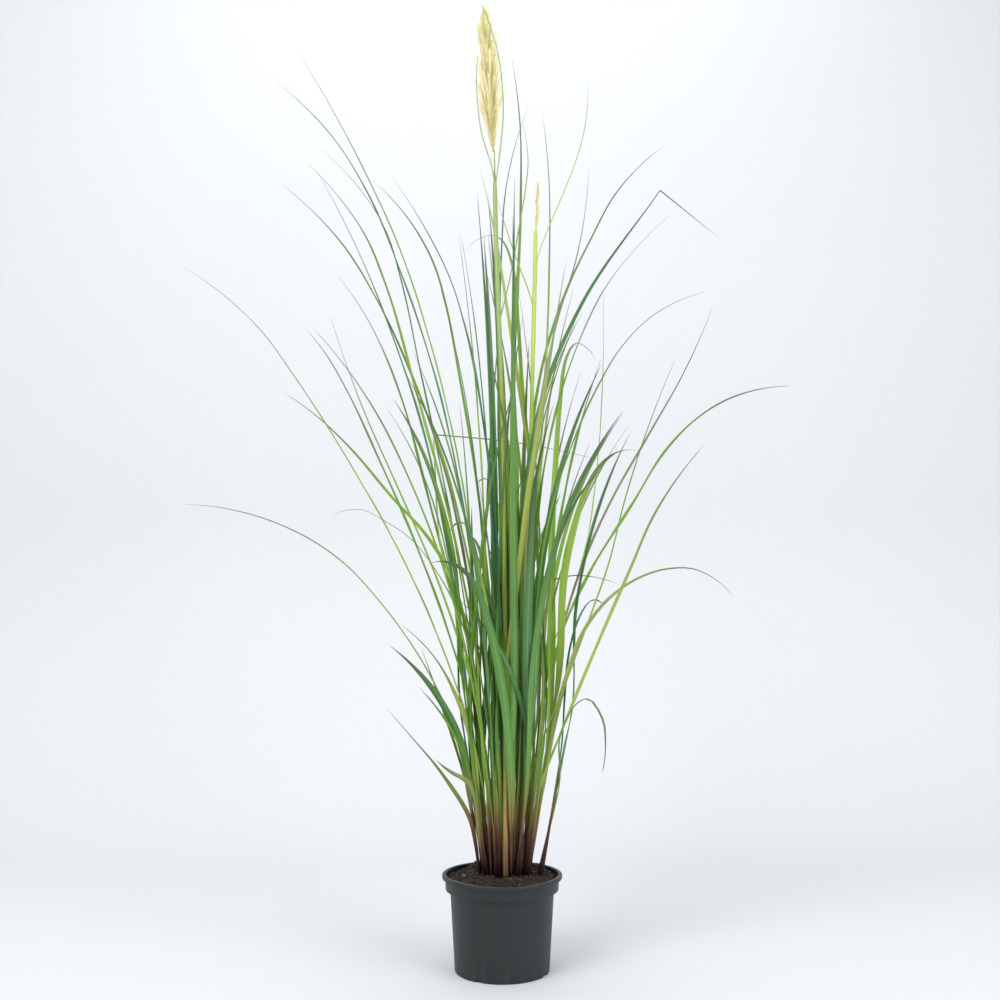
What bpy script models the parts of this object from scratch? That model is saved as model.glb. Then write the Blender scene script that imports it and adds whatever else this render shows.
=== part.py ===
"""Potted pampas grass: a nursery pot of compost, a clump of leafy tillers and two flower stems.

Metres, +Z up. The origin is the middle of the pot's flat underside, and the front faces -Y.
"""
import math
import random
from dataclasses import dataclass, field

import bmesh
import bpy
from mathutils import Vector
from mathutils.bvhtree import BVHTree

GAP = 0.0003                    # left between touching pieces
UP = Vector((0, 0, 1))

# Pot
RIM_RADIUS = 0.1125
POT_HEIGHT = 0.173
LIP_HEIGHT = 0.0075
COLLAR_HEIGHT = 0.0205
COLLAR_TOP_RADIUS = 0.1067
COLLAR_FOOT_RADIUS = 0.1057
WALL_TOP_RADIUS = 0.0972
BASE_RADIUS = 0.088
WALL = 0.0015
FLOOR = 0.002
EDGE = 0.0012                   # rounding of the lip and the foot
POT_SIDES = 40
DRAIN_COUNT = 4
DRAIN_WIDTH = 0.015
DRAIN_HEIGHT = 0.004
DRAIN_DEPTH = 0.016
DRAIN_TURN = math.radians(-118)  # direction of the first drain notch
DRAIN_CORNER = 0.0024           # slanted upper corners of a drain notch

# Potting mix
CROWN_LEVEL = 0.1712            # flat top on which the tillers stand
SOIL_EDGE_LEVEL = 0.1635
SOIL_LUMP = 0.0022
LUMP_WAVE = 0.0215              # distance between the larger lumps
CROWN_PLATE_RADIUS = 0.070
SOIL_RING_RADII = (0.098, 0.090, 0.080)
HEAPS = ((-0.050, 0.076), (0.074, 0.057))  # middles of two heaps at the wall
HEAP_HEIGHT = 0.0125
HEAP_RADIUS = 0.019

# Clump
CROWN_CENTRE = Vector((0.006, 0.010, 0))
CROWN_RADIUS = 0.049
PLACES = 41                     # tillers and flower stems of the main clump
GOLDEN_ANGLE = math.radians(137.508)
SPREAD = 3.4                    # outward slope of a tiller for each metre from the crown's middle
SIDE_TILLER = Vector((0.071, -0.006, 0))
SIDE_TILLER_SLOPE = Vector((0.20, -0.04, 0))
SIDE_TILLER_LEAVES = (0.15, 0.22, 0.27)
FAN_LENGTH = 0.0112             # flattened section of a tiller's foot
FAN_THICKNESS = 0.0056
FAN_PLAY = 0.05                 # turn added for each further way in which a tiller is laid
SLOPE_PLAY = 0.012
LOWEST_LEAF = 0.075             # height over the crown at which the first leaf leaves its tiller
LEAF_STEP = 0.06
LEAVES_PER_TILLER = 3
LOW_TIP = 0.6                   # a listed leaf with a lower tip grows at the crown's edge
LEAF_OPENING = math.radians(3.5)  # outward turn of a leaf where it leaves its tiller
CULM_LEAF_OPENING = math.radians(14)

# Unlisted leaves
FREE_WIDTHS = (0.011, 0.017)
UPRIGHT_REACH = (0.03, 0.12)
OUTWARD_REACH = 0.20            # added at most for a leaf that leans out of the clump's edge
FORWARD_REACH = 0.24            # added at most to that for one that leans to the front or the back
RISES = (0.50, 1.25)
TALLEST_FREE_TIP = 1.56         # seen height of the tallest tips, over the crown's middle
TIP_FALL = 2.6                  # how fast that height falls to the sides
SIDE_REACH = 0.16               # sideways they reach this far at most
ARCH_REACH = 0.28               # a leaf that reaches further bends over
ARCH_BENDS = (75, 112)          # degrees
UPRIGHT_BENDS = (45, 70)
ARC_PARTS = (0.36, 0.7, 1.0)    # shares of its bend at the points of an unlisted leaf
ASIDE = 0.6                     # radians that it turns aside from its fan at most
ASIDE_PLAY = 1.4                # added to that with full play
SHORTENING = 0.45               # share of its rise lost with full play

# Blades
KEEL_DEPTH = 0.20               # share of a blade's width
TAPER_START = 0.35
TAPER_POWER = 1.6
FIRST_RING = 0.030              # from a blade's root to its first ring
TURN_PER_RING = math.radians(10)
MOST_EXTRA_RINGS = 6
SHARP_TURN = math.radians(25)   # always gets a ring
LEAST_STEP = 0.05               # between two rings, as a share of the blade's length
LAST_RING = 0.93                # no ring nearer to the tip than this share
LINE_STEPS = 14                 # points of a middle line for each stretch
CLEARANCE = 0.00025             # left round a blade on each side
SHEATH_CLEARANCE = 0.00015
ATTEMPTS = 30                   # ways to lay one tiller
FAN_ATTEMPTS = 10               # ways before it gets one leaf less
LEAF_ATTEMPTS = 60              # ways to lay one leaf of it

# Place from which the listed leaves are seen
EYE_DISTANCE = 2.07
EYE_HEIGHT = 0.62

SEED = 67


@dataclass
class Blade:
    """One leaf: its middle line from the root, and the level direction of its width there."""

    line: list
    across: Vector
    width: float
    twist: float
    tone: float


@dataclass
class SeenLeaf:
    """A leaf that stands out from the clump, as (side, height) points seen against the plant's
    middle plane, with the depth of its tip, its width and the number of its sharp bend."""

    outline: tuple
    tip_depth: float
    width: float
    bend: int = None


@dataclass
class Tiller:
    """One shoot: its foot, its slope, the level direction of its fan and its leaves."""

    foot: Vector
    slope: Vector
    fan: Vector
    leaves: list = field(default_factory=list)
    heights: list = field(default_factory=list)

    def middle(self, height):
        return self.foot + (UP + self.slope) * (height - self.foot.z)

    def across(self):
        return UP.cross(self.fan)


SEEN_LEAVES = (
    # The bent leaf, which crosses behind the clump
    SeenLeaf(((-0.12, 0.80), (-0.134, 1.008), (0.04, 0.99), (0.19, 0.958)), 0.13, 0.0135, 2),
    # Left, the lowest first, so that these grow at the crown's edge
    SeenLeaf(((-0.070, 0.344), (-0.097, 0.358), (-0.127, 0.382)), -0.05, 0.0135),
    SeenLeaf(((-0.06, 0.27), (-0.097, 0.332), (-0.183, 0.435), (-0.22, 0.476)), -0.06, 0.0095),
    SeenLeaf(((-0.107, 0.453), (-0.132, 0.487), (-0.159, 0.516)), -0.03, 0.008),
    SeenLeaf(((-0.10, 0.44), (-0.128, 0.516), (-0.156, 0.593)), 0.06, 0.0105),
    SeenLeaf(((-0.08, 0.415), (-0.235, 0.68), (-0.325, 0.77), (-0.445, 0.835), (-0.62, 0.87)), 0.05, 0.0105),
    SeenLeaf(((-0.195, 0.77), (-0.35, 1.03), (-0.52, 1.26), (-0.64, 1.35)), -0.10, 0.0115),
    SeenLeaf(((-0.105, 0.70), (-0.175, 0.80), (-0.225, 0.835), (-0.284, 0.861), (-0.334, 0.847)),
             -0.19, 0.008),
    SeenLeaf(((-0.13, 0.785), (-0.23, 0.90), (-0.342, 1.025), (-0.438, 1.096)), 0.17, 0.0105),
    SeenLeaf(((-0.165, 0.88), (-0.257, 1.065), (-0.347, 1.19), (-0.386, 1.233)), -0.21, 0.0105),
    SeenLeaf(((-0.17, 0.797), (-0.262, 1.0), (-0.36, 1.184), (-0.396, 1.227)), 0.01, 0.0105),
    SeenLeaf(((-0.165, 0.82), (-0.25, 1.0), (-0.344, 1.25)), -0.12, 0.0105),
    SeenLeaf(((-0.19, 1.13), (-0.276, 1.349), (-0.343, 1.494), (-0.377, 1.553)), 0.10, 0.0105),
    SeenLeaf(((-0.16, 0.942), (-0.214, 1.125), (-0.29, 1.278), (-0.332, 1.334)), 0.20, 0.012),
    SeenLeaf(((-0.18, 1.275), (-0.30, 1.555), (-0.395, 1.685), (-0.463, 1.743)), -0.06, 0.012),
    SeenLeaf(((-0.135, 1.17), (-0.212, 1.405), (-0.355, 1.695), (-0.417, 1.804)), 0.12, 0.012),
    SeenLeaf(((-0.135, 1.015), (-0.20, 1.175), (-0.327, 1.405), (-0.46, 1.535)), 0.05, 0.012),
    SeenLeaf(((-0.19, 1.16), (-0.285, 1.432), (-0.393, 1.566)), -0.14, 0.012),
    SeenLeaf(((-0.175, 1.19), (-0.25, 1.458), (-0.37, 1.60)), 0.23, 0.0105),
    SeenLeaf(((-0.095, 1.178), (-0.137, 1.357), (-0.198, 1.464), (-0.262, 1.532)), 0.20, 0.0135),
    SeenLeaf(((-0.054, 1.13), (-0.094, 1.30), (-0.16, 1.44), (-0.226, 1.543)), -0.18, 0.0135),
    # Right, in the same order
    SeenLeaf(((0.05, 0.62), (0.083, 0.715), (0.15, 0.73), (0.229, 0.712)), 0.08, 0.008),
    SeenLeaf(((0.115, 0.506), (0.164, 0.635), (0.229, 0.705), (0.307, 0.741), (0.365, 0.745), (0.447, 0.69)),
             -0.10, 0.0105),
    SeenLeaf(((0.116, 0.622), (0.183, 0.76), (0.268, 0.89), (0.345, 1.004), (0.44, 1.076), (0.587, 1.106)),
             0.10, 0.0115),
    SeenLeaf(((0.15, 0.52), (0.24, 0.724), (0.307, 0.867), (0.402, 0.992)), -0.17, 0.0105),
    SeenLeaf(((0.13, 0.55), (0.205, 0.75), (0.25, 0.914), (0.344, 1.161)), 0.0, 0.0115),
    SeenLeaf(((0.165, 0.773), (0.242, 0.93), (0.34, 1.092), (0.423, 1.27)), 0.13, 0.0115),
    SeenLeaf(((0.106, 0.894), (0.16, 1.04), (0.245, 1.194), (0.33, 1.27), (0.41, 1.30)), -0.15, 0.012),
    SeenLeaf(((0.107, 1.16), (0.166, 1.286), (0.257, 1.432), (0.321, 1.512), (0.44, 1.41)), -0.08, 0.012, 4),
    SeenLeaf(((0.155, 1.20), (0.194, 1.286), (0.256, 1.374), (0.338, 1.458)), 0.05, 0.0105),
    SeenLeaf(((0.13, 1.303), (0.18, 1.41), (0.242, 1.52), (0.343, 1.615)), 0.16, 0.0105),
    SeenLeaf(((0.165, 0.796), (0.196, 1.056), (0.203, 1.303)), 0.24, 0.0095),
    SeenLeaf(((0.114, 1.253), (0.153, 1.382), (0.175, 1.51), (0.177, 1.562)), -0.13, 0.0105),
    SeenLeaf(((0.092, 1.253), (0.097, 1.445), (0.088, 1.64), (0.082, 1.686)), 0.06, 0.0105),
    SeenLeaf(((0.028, 1.30), (0.039, 1.525), (0.027, 1.758), (0.017, 1.815)), 0.10, 0.012),
    SeenLeaf(((0.0, 1.40), (0.006, 1.498), (0.027, 1.607), (0.057, 1.699)), 0.15, 0.0105),
)
# The curled leaf of the tiller that stands apart on the right
CURLED_LEAF = SeenLeaf(((0.118, 0.45), (0.163, 0.495), (0.187, 0.467), (0.196, 0.40), (0.189, 0.355)),
                       -0.05, 0.007)


@dataclass
class Culm:
    """A flower stem: the points it is seen to pass, its radius at foot and top, its own leaves and
    the heights at which they grow from it."""

    name: str
    foot: Vector
    points: tuple
    radii: tuple
    leaves: tuple
    collar_heights: tuple
    line: list = field(default_factory=list)
    blades: list = field(default_factory=list)
    collars: list = field(default_factory=list)


TALL_STEM = Culm(
    "flower_stem_tall",
    foot=Vector((0.011, -0.034, 0)),
    points=((0.006, 0.60), (0.001, 1.05), (-0.012, 1.40), (-0.0155, 1.595)),
    radii=(0.0046, 0.0021),
    leaves=(
        SeenLeaf(((-0.043, 1.641), (-0.052, 1.773), (-0.050, 1.806)), -0.082, 0.005),
        SeenLeaf(((0.002, 1.71), (-0.012, 1.824), (-0.046, 1.922)), -0.090, 0.006),
        SeenLeaf(((0.041, 1.479), (0.053, 1.575), (0.041, 1.66)), -0.07, 0.008),
        SeenLeaf(((0.060, 0.95), (0.105, 1.22), (0.13, 1.37)), -0.16, 0.012),
    ),
    collar_heights=(1.515, 1.50, 1.23, 0.545),
)
YOUNG_STEM = Culm(
    "flower_stem_young",
    foot=Vector((0.040, 0.006, 0)),
    points=((0.050, 0.65), (0.0585, 1.06), (0.065, 1.29), (0.068, 1.425)),
    radii=(0.0046, 0.0024),
    leaves=(
        SeenLeaf(((0.122, 1.502), (0.166, 1.63), (0.177, 1.75)), 0.03, 0.008),
        SeenLeaf(((0.018, 1.401), (-0.012, 1.504)), 0.0, 0.007),
        SeenLeaf(((0.020, 1.20), (-0.02, 1.45), (-0.045, 1.56)), 0.06, 0.009),
    ),
    collar_heights=(1.36, 1.27, 0.95),
)
STEM_SIDES = 6
STEM_LEVELS = (0.40, 0.75, 0.95, 1.10, 1.40)
COLLAR_RISE = 0.010             # height of the side face from which a leaf of a flower stem grows

# Plumes
TALL_PLUME_TIP = Vector((-0.0365, -0.04, 1.885))
YOUNG_PLUME_REACH = Vector((0.006, 0, 0.105))  # from its foot to its tip


def linear(hexcode):
    """A display colour such as 1f2a2c, as the linear colour that a shader takes."""
    parts = [int(hexcode[i:i + 2], 16) / 255 for i in (0, 2, 4)]
    return [p / 12.92 if p <= 0.04045 else ((p + 0.055) / 1.055) ** 2.4 for p in parts] + [1]


def material(name, hexcode, roughness):
    made = bpy.data.materials.new(name)
    made.use_nodes = True
    shader = made.node_tree.nodes["Principled BSDF"]
    shader.inputs["Base Color"].default_value = linear(hexcode)
    shader.inputs["Roughness"].default_value = roughness
    shader.inputs["Metallic"].default_value = 0
    return made


def add_object(name, mesh, finish, sharp_angle=None):
    """A named object with its finish. With a sharp angle its softer edges are shaded smooth."""
    mesh.materials.append(finish)
    if sharp_angle:
        mesh.shade_smooth()
        mesh.set_sharp_from_angle(angle=sharp_angle)
    made = bpy.data.objects.new(name, mesh)
    bpy.context.scene.collection.objects.link(made)
    return made


def finished_mesh(bm, name):
    bmesh.ops.recalc_face_normals(bm, faces=bm.faces)
    mesh = bpy.data.meshes.new(name)
    bm.to_mesh(mesh)
    bm.free()
    return mesh


def bridge(bm, lower, upper):
    """Faces between two closed rings with the same number of corners."""
    for i, corner in enumerate(lower):
        after = (i + 1) % len(lower)
        bm.faces.new((corner, lower[after], upper[after], upper[i]))


def turned(profile, sides):
    """A closed round body from a profile of (radius, height), with flat caps at both its ends."""
    bm = bmesh.new()
    rings = []
    for radius, height in profile:
        angles = [math.tau * i / sides for i in range(sides)]
        rings.append([bm.verts.new((radius * math.cos(a), radius * math.sin(a), height)) for a in angles])
    for lower, upper in zip(rings, rings[1:]):
        bridge(bm, lower, upper)
    bm.faces.new(rings[0])
    bm.faces.new(rings[-1])
    return bm


# Pot and potting mix

COLLAR_FOOT = POT_HEIGHT - LIP_HEIGHT - COLLAR_HEIGHT


def pot_inner_profile(clearance):
    """Inner side of the pot from the floor up, this much inside the wall."""
    inset = WALL + clearance
    step = COLLAR_FOOT + WALL
    return [
        (BASE_RADIUS - inset, FLOOR + clearance),
        (WALL_TOP_RADIUS - inset, step + clearance),
        (COLLAR_FOOT_RADIUS - inset, step + clearance),
        (COLLAR_TOP_RADIUS - inset, POT_HEIGHT),
    ]


def drain_cutter(index):
    """A block that opens one drain notch through the corner of wall and floor."""
    turn = DRAIN_TURN + index * math.tau / DRAIN_COUNT
    bm = bmesh.new()
    bmesh.ops.create_cube(bm, size=1)
    upper_edges = [edge for edge in bm.edges if all(corner.co.z > 0 for corner in edge.verts)]
    across = [edge for edge in upper_edges if edge.verts[0].co.x != edge.verts[1].co.x]
    bmesh.ops.scale(bm, vec=(DRAIN_DEPTH, DRAIN_WIDTH, 2 * DRAIN_HEIGHT), verts=bm.verts)
    bmesh.ops.bevel(bm, geom=across, offset=DRAIN_CORNER, segments=1, affect="EDGES")
    cutter = bpy.data.objects.new(f"drain_cutter_{index}", finished_mesh(bm, "drain_cutter"))
    cutter.location = (BASE_RADIUS * math.cos(turn), BASE_RADIUS * math.sin(turn), 0)
    cutter.rotation_euler.z = turn
    cutter.hide_render = True
    cutter.display_type = "WIRE"
    bpy.context.scene.collection.objects.link(cutter)
    return cutter


def make_pot():
    lip_foot = POT_HEIGHT - LIP_HEIGHT
    outside = [
        (BASE_RADIUS - EDGE, 0),
        (BASE_RADIUS, EDGE),
        (WALL_TOP_RADIUS, COLLAR_FOOT),
        (COLLAR_FOOT_RADIUS, COLLAR_FOOT),
        (COLLAR_TOP_RADIUS, lip_foot),
        (RIM_RADIUS - EDGE, lip_foot),
        (RIM_RADIUS, lip_foot + EDGE),
        (RIM_RADIUS, POT_HEIGHT - EDGE),
        (RIM_RADIUS - EDGE, POT_HEIGHT),
    ]
    bm = turned(outside + pot_inner_profile(0)[::-1], POT_SIDES)
    plastic = material("pot_plastic", "20292a", 0.5)
    pot = add_object("pot", finished_mesh(bm, "pot"), plastic, math.radians(30))
    for index in range(DRAIN_COUNT):
        notch = pot.modifiers.new(f"drain_{index}", "BOOLEAN")
        notch.operation = "DIFFERENCE"
        notch.object = drain_cutter(index)
    return pot


def soil_level(x, y):
    """Height of the potting mix: a flat crown, then a lumpy slope down to the wall with two heaps on it."""
    reach = math.hypot(x, y)
    if reach < CROWN_PLATE_RADIUS:
        return CROWN_LEVEL
    edge = COLLAR_TOP_RADIUS - WALL
    fall = min((reach - CROWN_PLATE_RADIUS) / (edge - CROWN_PLATE_RADIUS), 1)
    turns = math.tau / LUMP_WAVE
    lumps = math.sin(turns * x + 1.3) * math.cos(turns * y) * 0.6 + math.sin(2 * turns * (x - y)) * 0.4
    heap = HEAP_HEIGHT * sum(math.exp(-(math.dist((x, y), middle) / HEAP_RADIUS) ** 2) for middle in HEAPS)
    heap *= 4 * fall * (1 - fall)
    return CROWN_LEVEL + (SOIL_EDGE_LEVEL - CROWN_LEVEL) * fall + SOIL_LUMP * (lumps - 0.3) * fall + heap


def make_soil():
    inner = pot_inner_profile(GAP)[:3]
    wall_slope = (COLLAR_TOP_RADIUS - COLLAR_FOOT_RADIUS) / (POT_HEIGHT - COLLAR_FOOT - WALL)
    edge_radius = inner[2][0] + wall_slope * (SOIL_EDGE_LEVEL - SOIL_LUMP - inner[2][1])
    top_radii = (edge_radius, *SOIL_RING_RADII, CROWN_PLATE_RADIUS)
    bm = bmesh.new()
    angles = [math.tau * i / POT_SIDES for i in range(POT_SIDES)]
    rings = []
    for radius, height in inner:
        rings.append([bm.verts.new((radius * math.cos(a), radius * math.sin(a), height)) for a in angles])
    for radius in top_radii:
        places = [(radius * math.cos(a), radius * math.sin(a)) for a in angles]
        rings.append([bm.verts.new((x, y, soil_level(x, y))) for x, y in places])
    for lower, upper in zip(rings, rings[1:]):
        bridge(bm, lower, upper)
    bm.faces.new(rings[0])
    bm.faces.new(rings[-1])
    return add_object("potting_soil", finished_mesh(bm, "potting_soil"), material("compost", "2b211b", 0.95))


# Middle lines

def smooth_line(points, first_way, bend=None):
    """Closely spaced points on a smooth line through the given ones, sharp only at the bend."""
    last = len(points) - 1
    spans = [(points[i + 1] - points[i]) for i in range(last)]
    ways = [first_way.normalized()]
    for before, after in zip(spans, spans[1:]):
        ways.append((before.normalized() * after.length + after.normalized() * before.length).normalized())
    ways.append((spans[-1].normalized() * 2 - ways[-1]).normalized() if last > 1 else spans[-1].normalized())
    line = [points[0]]
    for i, span in enumerate(spans):
        start = span.normalized() if bend == i else ways[i]
        end = span.normalized() if bend == i + 1 else ways[i + 1]
        for step in range(1, LINE_STEPS + 1):
            u = step / LINE_STEPS
            line.append(
                points[i] * (2 * u ** 3 - 3 * u ** 2 + 1)
                + start * span.length * (u ** 3 - 2 * u ** 2 + u)
                + points[i + 1] * (3 * u ** 2 - 2 * u ** 3)
                + end * span.length * (u ** 3 - u ** 2)
            )
    return line


def lengths_along(line):
    lengths = [0.0]
    for a, b in zip(line, line[1:]):
        lengths.append(lengths[-1] + (b - a).length)
    return lengths


def frames_along(line, across):
    """(point, way, width direction) at each point of a line, carried along it without spin."""
    frames = []
    for i, point in enumerate(line):
        way = (line[min(i + 1, len(line) - 1)] - line[max(i - 1, 0)]).normalized()
        across = (across - way * across.dot(way)).normalized()
        frames.append((point, way, across))
    return frames


def seen_at(side, height, depth):
    """The place that is seen at this side and height of the middle plane, but lies at this depth."""
    growth = 1 + depth / EYE_DISTANCE
    return Vector((side * growth, depth, EYE_HEIGHT + (height - EYE_HEIGHT) * growth))


def seen_points(start, leaf, shift=0.0):
    """Places of a listed leaf from where it starts, its depth easing from there to its tip's."""
    outline = leaf.outline
    reach = [math.dist(outline[0], (start.x, start.z))]
    for a, b in zip(outline, outline[1:]):
        reach.append(reach[-1] + math.dist(a, b))
    places = [start]
    for (side, height), distance in zip(outline, reach):
        share = (distance / reach[-1]) ** 1.3
        places.append(seen_at(side, height, start.y + (leaf.tip_depth + shift - start.y) * share))
    return places


# Blades

def blade_width(blade, share):
    """Full width at this share of the blade's length."""
    opening = 0.62 + 0.38 * min(share / 0.14, 1)
    taper = max(share - TAPER_START, 0) / (1 - TAPER_START)
    return blade.width * opening * (1 - 0.97 * taper ** TAPER_POWER)


def ring_shares(blade, lengths):
    """Shares of the length that get a ring: more of them where the line turns more."""
    line = blade.line
    ways = [(b - a).normalized() for a, b in zip(line, line[1:])]
    turns = [a.angle(b, 0) for a, b in zip(ways, ways[1:])]
    turned_so_far = [0.0]
    for turn in turns:
        turned_so_far.append(turned_so_far[-1] + turn)
    turned_so_far.append(turned_so_far[-1])
    count = 3 + min(round(turned_so_far[-1] / TURN_PER_RING), MOST_EXTRA_RINGS)
    total = lengths[-1]
    first = FIRST_RING / total
    measure = [0.5 * length / total + 0.5 * turn / max(turned_so_far[-1], 0.001)
               for length, turn in zip(lengths, turned_so_far)]
    sharp = [length / total for length, turn in zip(lengths[1:], turns) if turn > SHARP_TURN]
    shares = [first]
    for k in range(1, count):
        i = next(i for i, m in enumerate(measure) if m >= k / count)
        share = lengths[i] / total
        if share - shares[-1] > LEAST_STEP and share < LAST_RING:
            shares.append(share)
    return sorted([share for share in shares if all(abs(share - s) > LEAST_STEP for s in sharp)] + sharp)


def lay_rings(blade, swell=0.0):
    """Left edge, keel and right edge at each ring, and the tip, all this much too large."""
    lengths = lengths_along(blade.line)
    total = lengths[-1]
    frames = frames_along(blade.line, blade.across)
    rings = []
    for share in ring_shares(blade, lengths):
        length = share * total
        i = min(range(1, len(lengths) - 1), key=lambda k: abs(lengths[k] - length))
        point, way, across = frames[i]
        point = point + way * (length - lengths[i])
        turn = blade.twist * share
        side = across * math.cos(turn) + across.cross(way) * math.sin(turn)
        down = side.cross(way)
        width = blade_width(blade, share)
        half = width / 2 + swell
        rings.append([point - side * half - down * swell,
                      point + down * (KEEL_DEPTH * width + swell),
                      point + side * half - down * swell])
    return rings, blade.line[-1]


def root_ring(blade, swell):
    """Three corners round the root of a blade, as far apart as its shoot is thick."""
    point, way, across = frames_along(blade.line[:2], blade.across)[0]
    down = across.cross(way) * (FAN_LENGTH / (2 * LEAVES_PER_TILLER) + swell)
    side = across * (FAN_THICKNESS / 2 + swell)
    return [point - side - down, point + down, point + side - down]


def blade_skin(blade, swell, first=0):
    """Corners and triangles of a blade for finding what it meets, from its root or a later ring."""
    rings, tip = lay_rings(blade, swell)
    rings.insert(0, root_ring(blade, swell))
    corners = [corner for ring in rings[first:] for corner in ring] + [tip]
    faces = []
    for k in range(len(rings) - first - 1):
        for i in range(3):
            a, b = 3 * k + i, 3 * k + (i + 1) % 3
            faces += [(a, b, b + 3), (a, b + 3, a + 3)]
    last = 3 * (len(rings) - first - 1)
    faces += [(last + i, last + (i + 1) % 3, len(corners) - 1) for i in range(3)]
    return corners, faces


def fuse_blade(bm, root, blade):
    """Grows a blade out of four corners: near left, far left, far right and near right."""
    rings, tip = lay_rings(blade)
    near_left, far_left, far_right, near_right = root
    left, keel, right = (bm.verts.new(corner) for corner in rings[0])
    bm.faces.new((near_left, far_left, keel, left))
    bm.faces.new((far_left, far_right, keel))
    bm.faces.new((far_right, near_right, right, keel))
    bm.faces.new((near_right, near_left, left, right))
    lower = (left, keel, right)
    for ring in rings[1:]:
        upper = tuple(bm.verts.new(corner) for corner in ring)
        bridge(bm, lower, upper)
        lower = upper
    point = bm.verts.new(tip)
    for i in range(3):
        bm.faces.new((lower[i], lower[(i + 1) % 3], point))


# Tillers

def fan_rows(tiller, height):
    """Pairs of corners (left, right) across a tiller's flattened section, outer end first."""
    count = len(tiller.heights)
    middle = tiller.middle(height)
    across = tiller.across()
    rows = []
    for k in range(count + 1):
        out = FAN_LENGTH * (0.5 - k / count)
        half = FAN_THICKNESS * (0.33 if k in (0, count) else 0.5)
        rows.append((middle + tiller.fan * out - across * half, middle + tiller.fan * out + across * half))
    return rows


def leaf_cells(count):
    """Cell of each leaf in a fan: outer end, inner end, and so on to the middle."""
    order = []
    low, high = 0, count - 1
    while low <= high:
        order.append((low, True))
        low += 1
        if low <= high:
            order.append((high, False))
            high -= 1
    return order


def leaf_start(tiller, number):
    """Where leaf number starts, its first direction and its width direction."""
    count = len(tiller.heights)
    cell, outward = leaf_cells(count)[number]
    out = tiller.fan if outward else -tiller.fan
    height = tiller.heights[number]
    point = tiller.middle(height) + tiller.fan * FAN_LENGTH * (0.5 - (cell + 0.5) / count)
    way = (UP + tiller.slope + out * math.tan(LEAF_OPENING)).normalized()
    return point, way, UP.cross(out)


def stem_skin(tiller, swell, number=-1):
    """Corners and triangles of a tiller's stem from its foot up, or of what goes on above leaf number,
    for finding what it meets."""
    count = len(tiller.heights)
    first, last = 0, count
    for _, outward in leaf_cells(count)[:number + 1]:
        first += outward
        last -= not outward
    low = tiller.foot.z if number < 0 else tiller.heights[number]
    outer = FAN_LENGTH * (0.5 - first / count) + swell
    inner = FAN_LENGTH * (0.5 - last / count) - swell
    half = FAN_THICKNESS / 2 + swell
    corners = []
    for height in (low, max(tiller.heights)):
        middle = tiller.middle(height)
        for along, side in ((outer, half), (inner, half), (inner, -half), (outer, -half)):
            corners.append(middle + tiller.fan * along + tiller.across() * side)
    faces = []
    for i in range(4):
        j = (i + 1) % 4
        faces += [(i, j, j + 4), (i, j + 4, i + 4)]
    return corners, faces


def make_tiller(name, tiller, finish):
    bm = bmesh.new()

    def row_corners(rows):
        return [tuple(bm.verts.new(corner) for corner in pair) for pair in rows]

    count = len(tiller.leaves)
    lower = dict(enumerate(row_corners(fan_rows(tiller, tiller.foot.z))))
    for k in range(count):
        bm.faces.new((lower[k][0], lower[k + 1][0], lower[k + 1][1], lower[k][1]))
    first, last = 0, count
    for number, (cell, outward) in enumerate(leaf_cells(count)):
        rows = fan_rows(tiller, tiller.heights[number])
        upper = {k: tuple(bm.verts.new(corner) for corner in rows[k]) for k in range(first, last + 1)}
        for k in range(first, last):
            for side in (0, 1):
                bm.faces.new((lower[k][side], lower[k + 1][side], upper[k + 1][side], upper[k][side]))
        for k in (first, last):
            bm.faces.new((lower[k][0], lower[k][1], upper[k][1], upper[k][0]))
        outer, inner = upper[cell], upper[cell + 1]
        if outward:
            fuse_blade(bm, (inner[0], outer[0], outer[1], inner[1]), tiller.leaves[number])
            first += 1
        else:
            fuse_blade(bm, (outer[1], inner[1], inner[0], outer[0]), tiller.leaves[number])
            last -= 1
        lower = upper
    return add_object(name, finished_mesh(bm, name), finish)


# Layout of the clump

def crown_places():
    """Feet of the main clump's shoots, packed like the seeds of a sunflower."""
    places = []
    for i in range(PLACES):
        reach = CROWN_RADIUS * math.sqrt((i + 0.5) / PLACES)
        turn = i * GOLDEN_ANGLE
        places.append(CROWN_CENTRE + level_way(turn) * reach + UP * (CROWN_LEVEL + GAP))
    return places


def take_nearest(places, wanted):
    nearest = min(places, key=lambda place: (place.xy - wanted.xy).length)
    places.remove(nearest)
    return nearest


def wanted_foot(leaf):
    """Where on the crown a listed leaf would grow: the further it reaches, the nearer the edge."""
    out = Vector((leaf.outline[-1][0], leaf.tip_depth, 0)) - CROWN_CENTRE
    low = leaf.outline[-1][1] < LOW_TIP
    share = 1 if low else min(max(0.35 + 1.4 * out.length, 0.4), 0.95)
    return CROWN_CENTRE + out.normalized() * CROWN_RADIUS * share


def way_from_stem(leaf, foot):
    """Level way in which a listed leaf leaves the straight line of its tiller's stem."""
    place = seen_points(foot, leaf)[1]
    stem = foot + (foot - CROWN_CENTRE) * SPREAD * (place.z - foot.z)
    return Vector((place.x - stem.x, place.y - stem.y, 0))


def level_way(turn):
    return Vector((math.cos(turn), math.sin(turn), 0))


def draw_heights(draw, lowest=None):
    """Heights at which a tiller's leaves leave it, the first of them well below this lowest point."""
    height = CROWN_LEVEL + LOWEST_LEAF + draw.uniform(0, 0.10)
    if lowest is not None:
        height = min(height, max(lowest - draw.uniform(0.08, 0.12), CROWN_LEVEL + 0.03))
    heights = []
    for _ in range(LEAVES_PER_TILLER):
        heights.append(height)
        height += LEAF_STEP + draw.uniform(-0.025, 0.06)
    return heights


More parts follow.
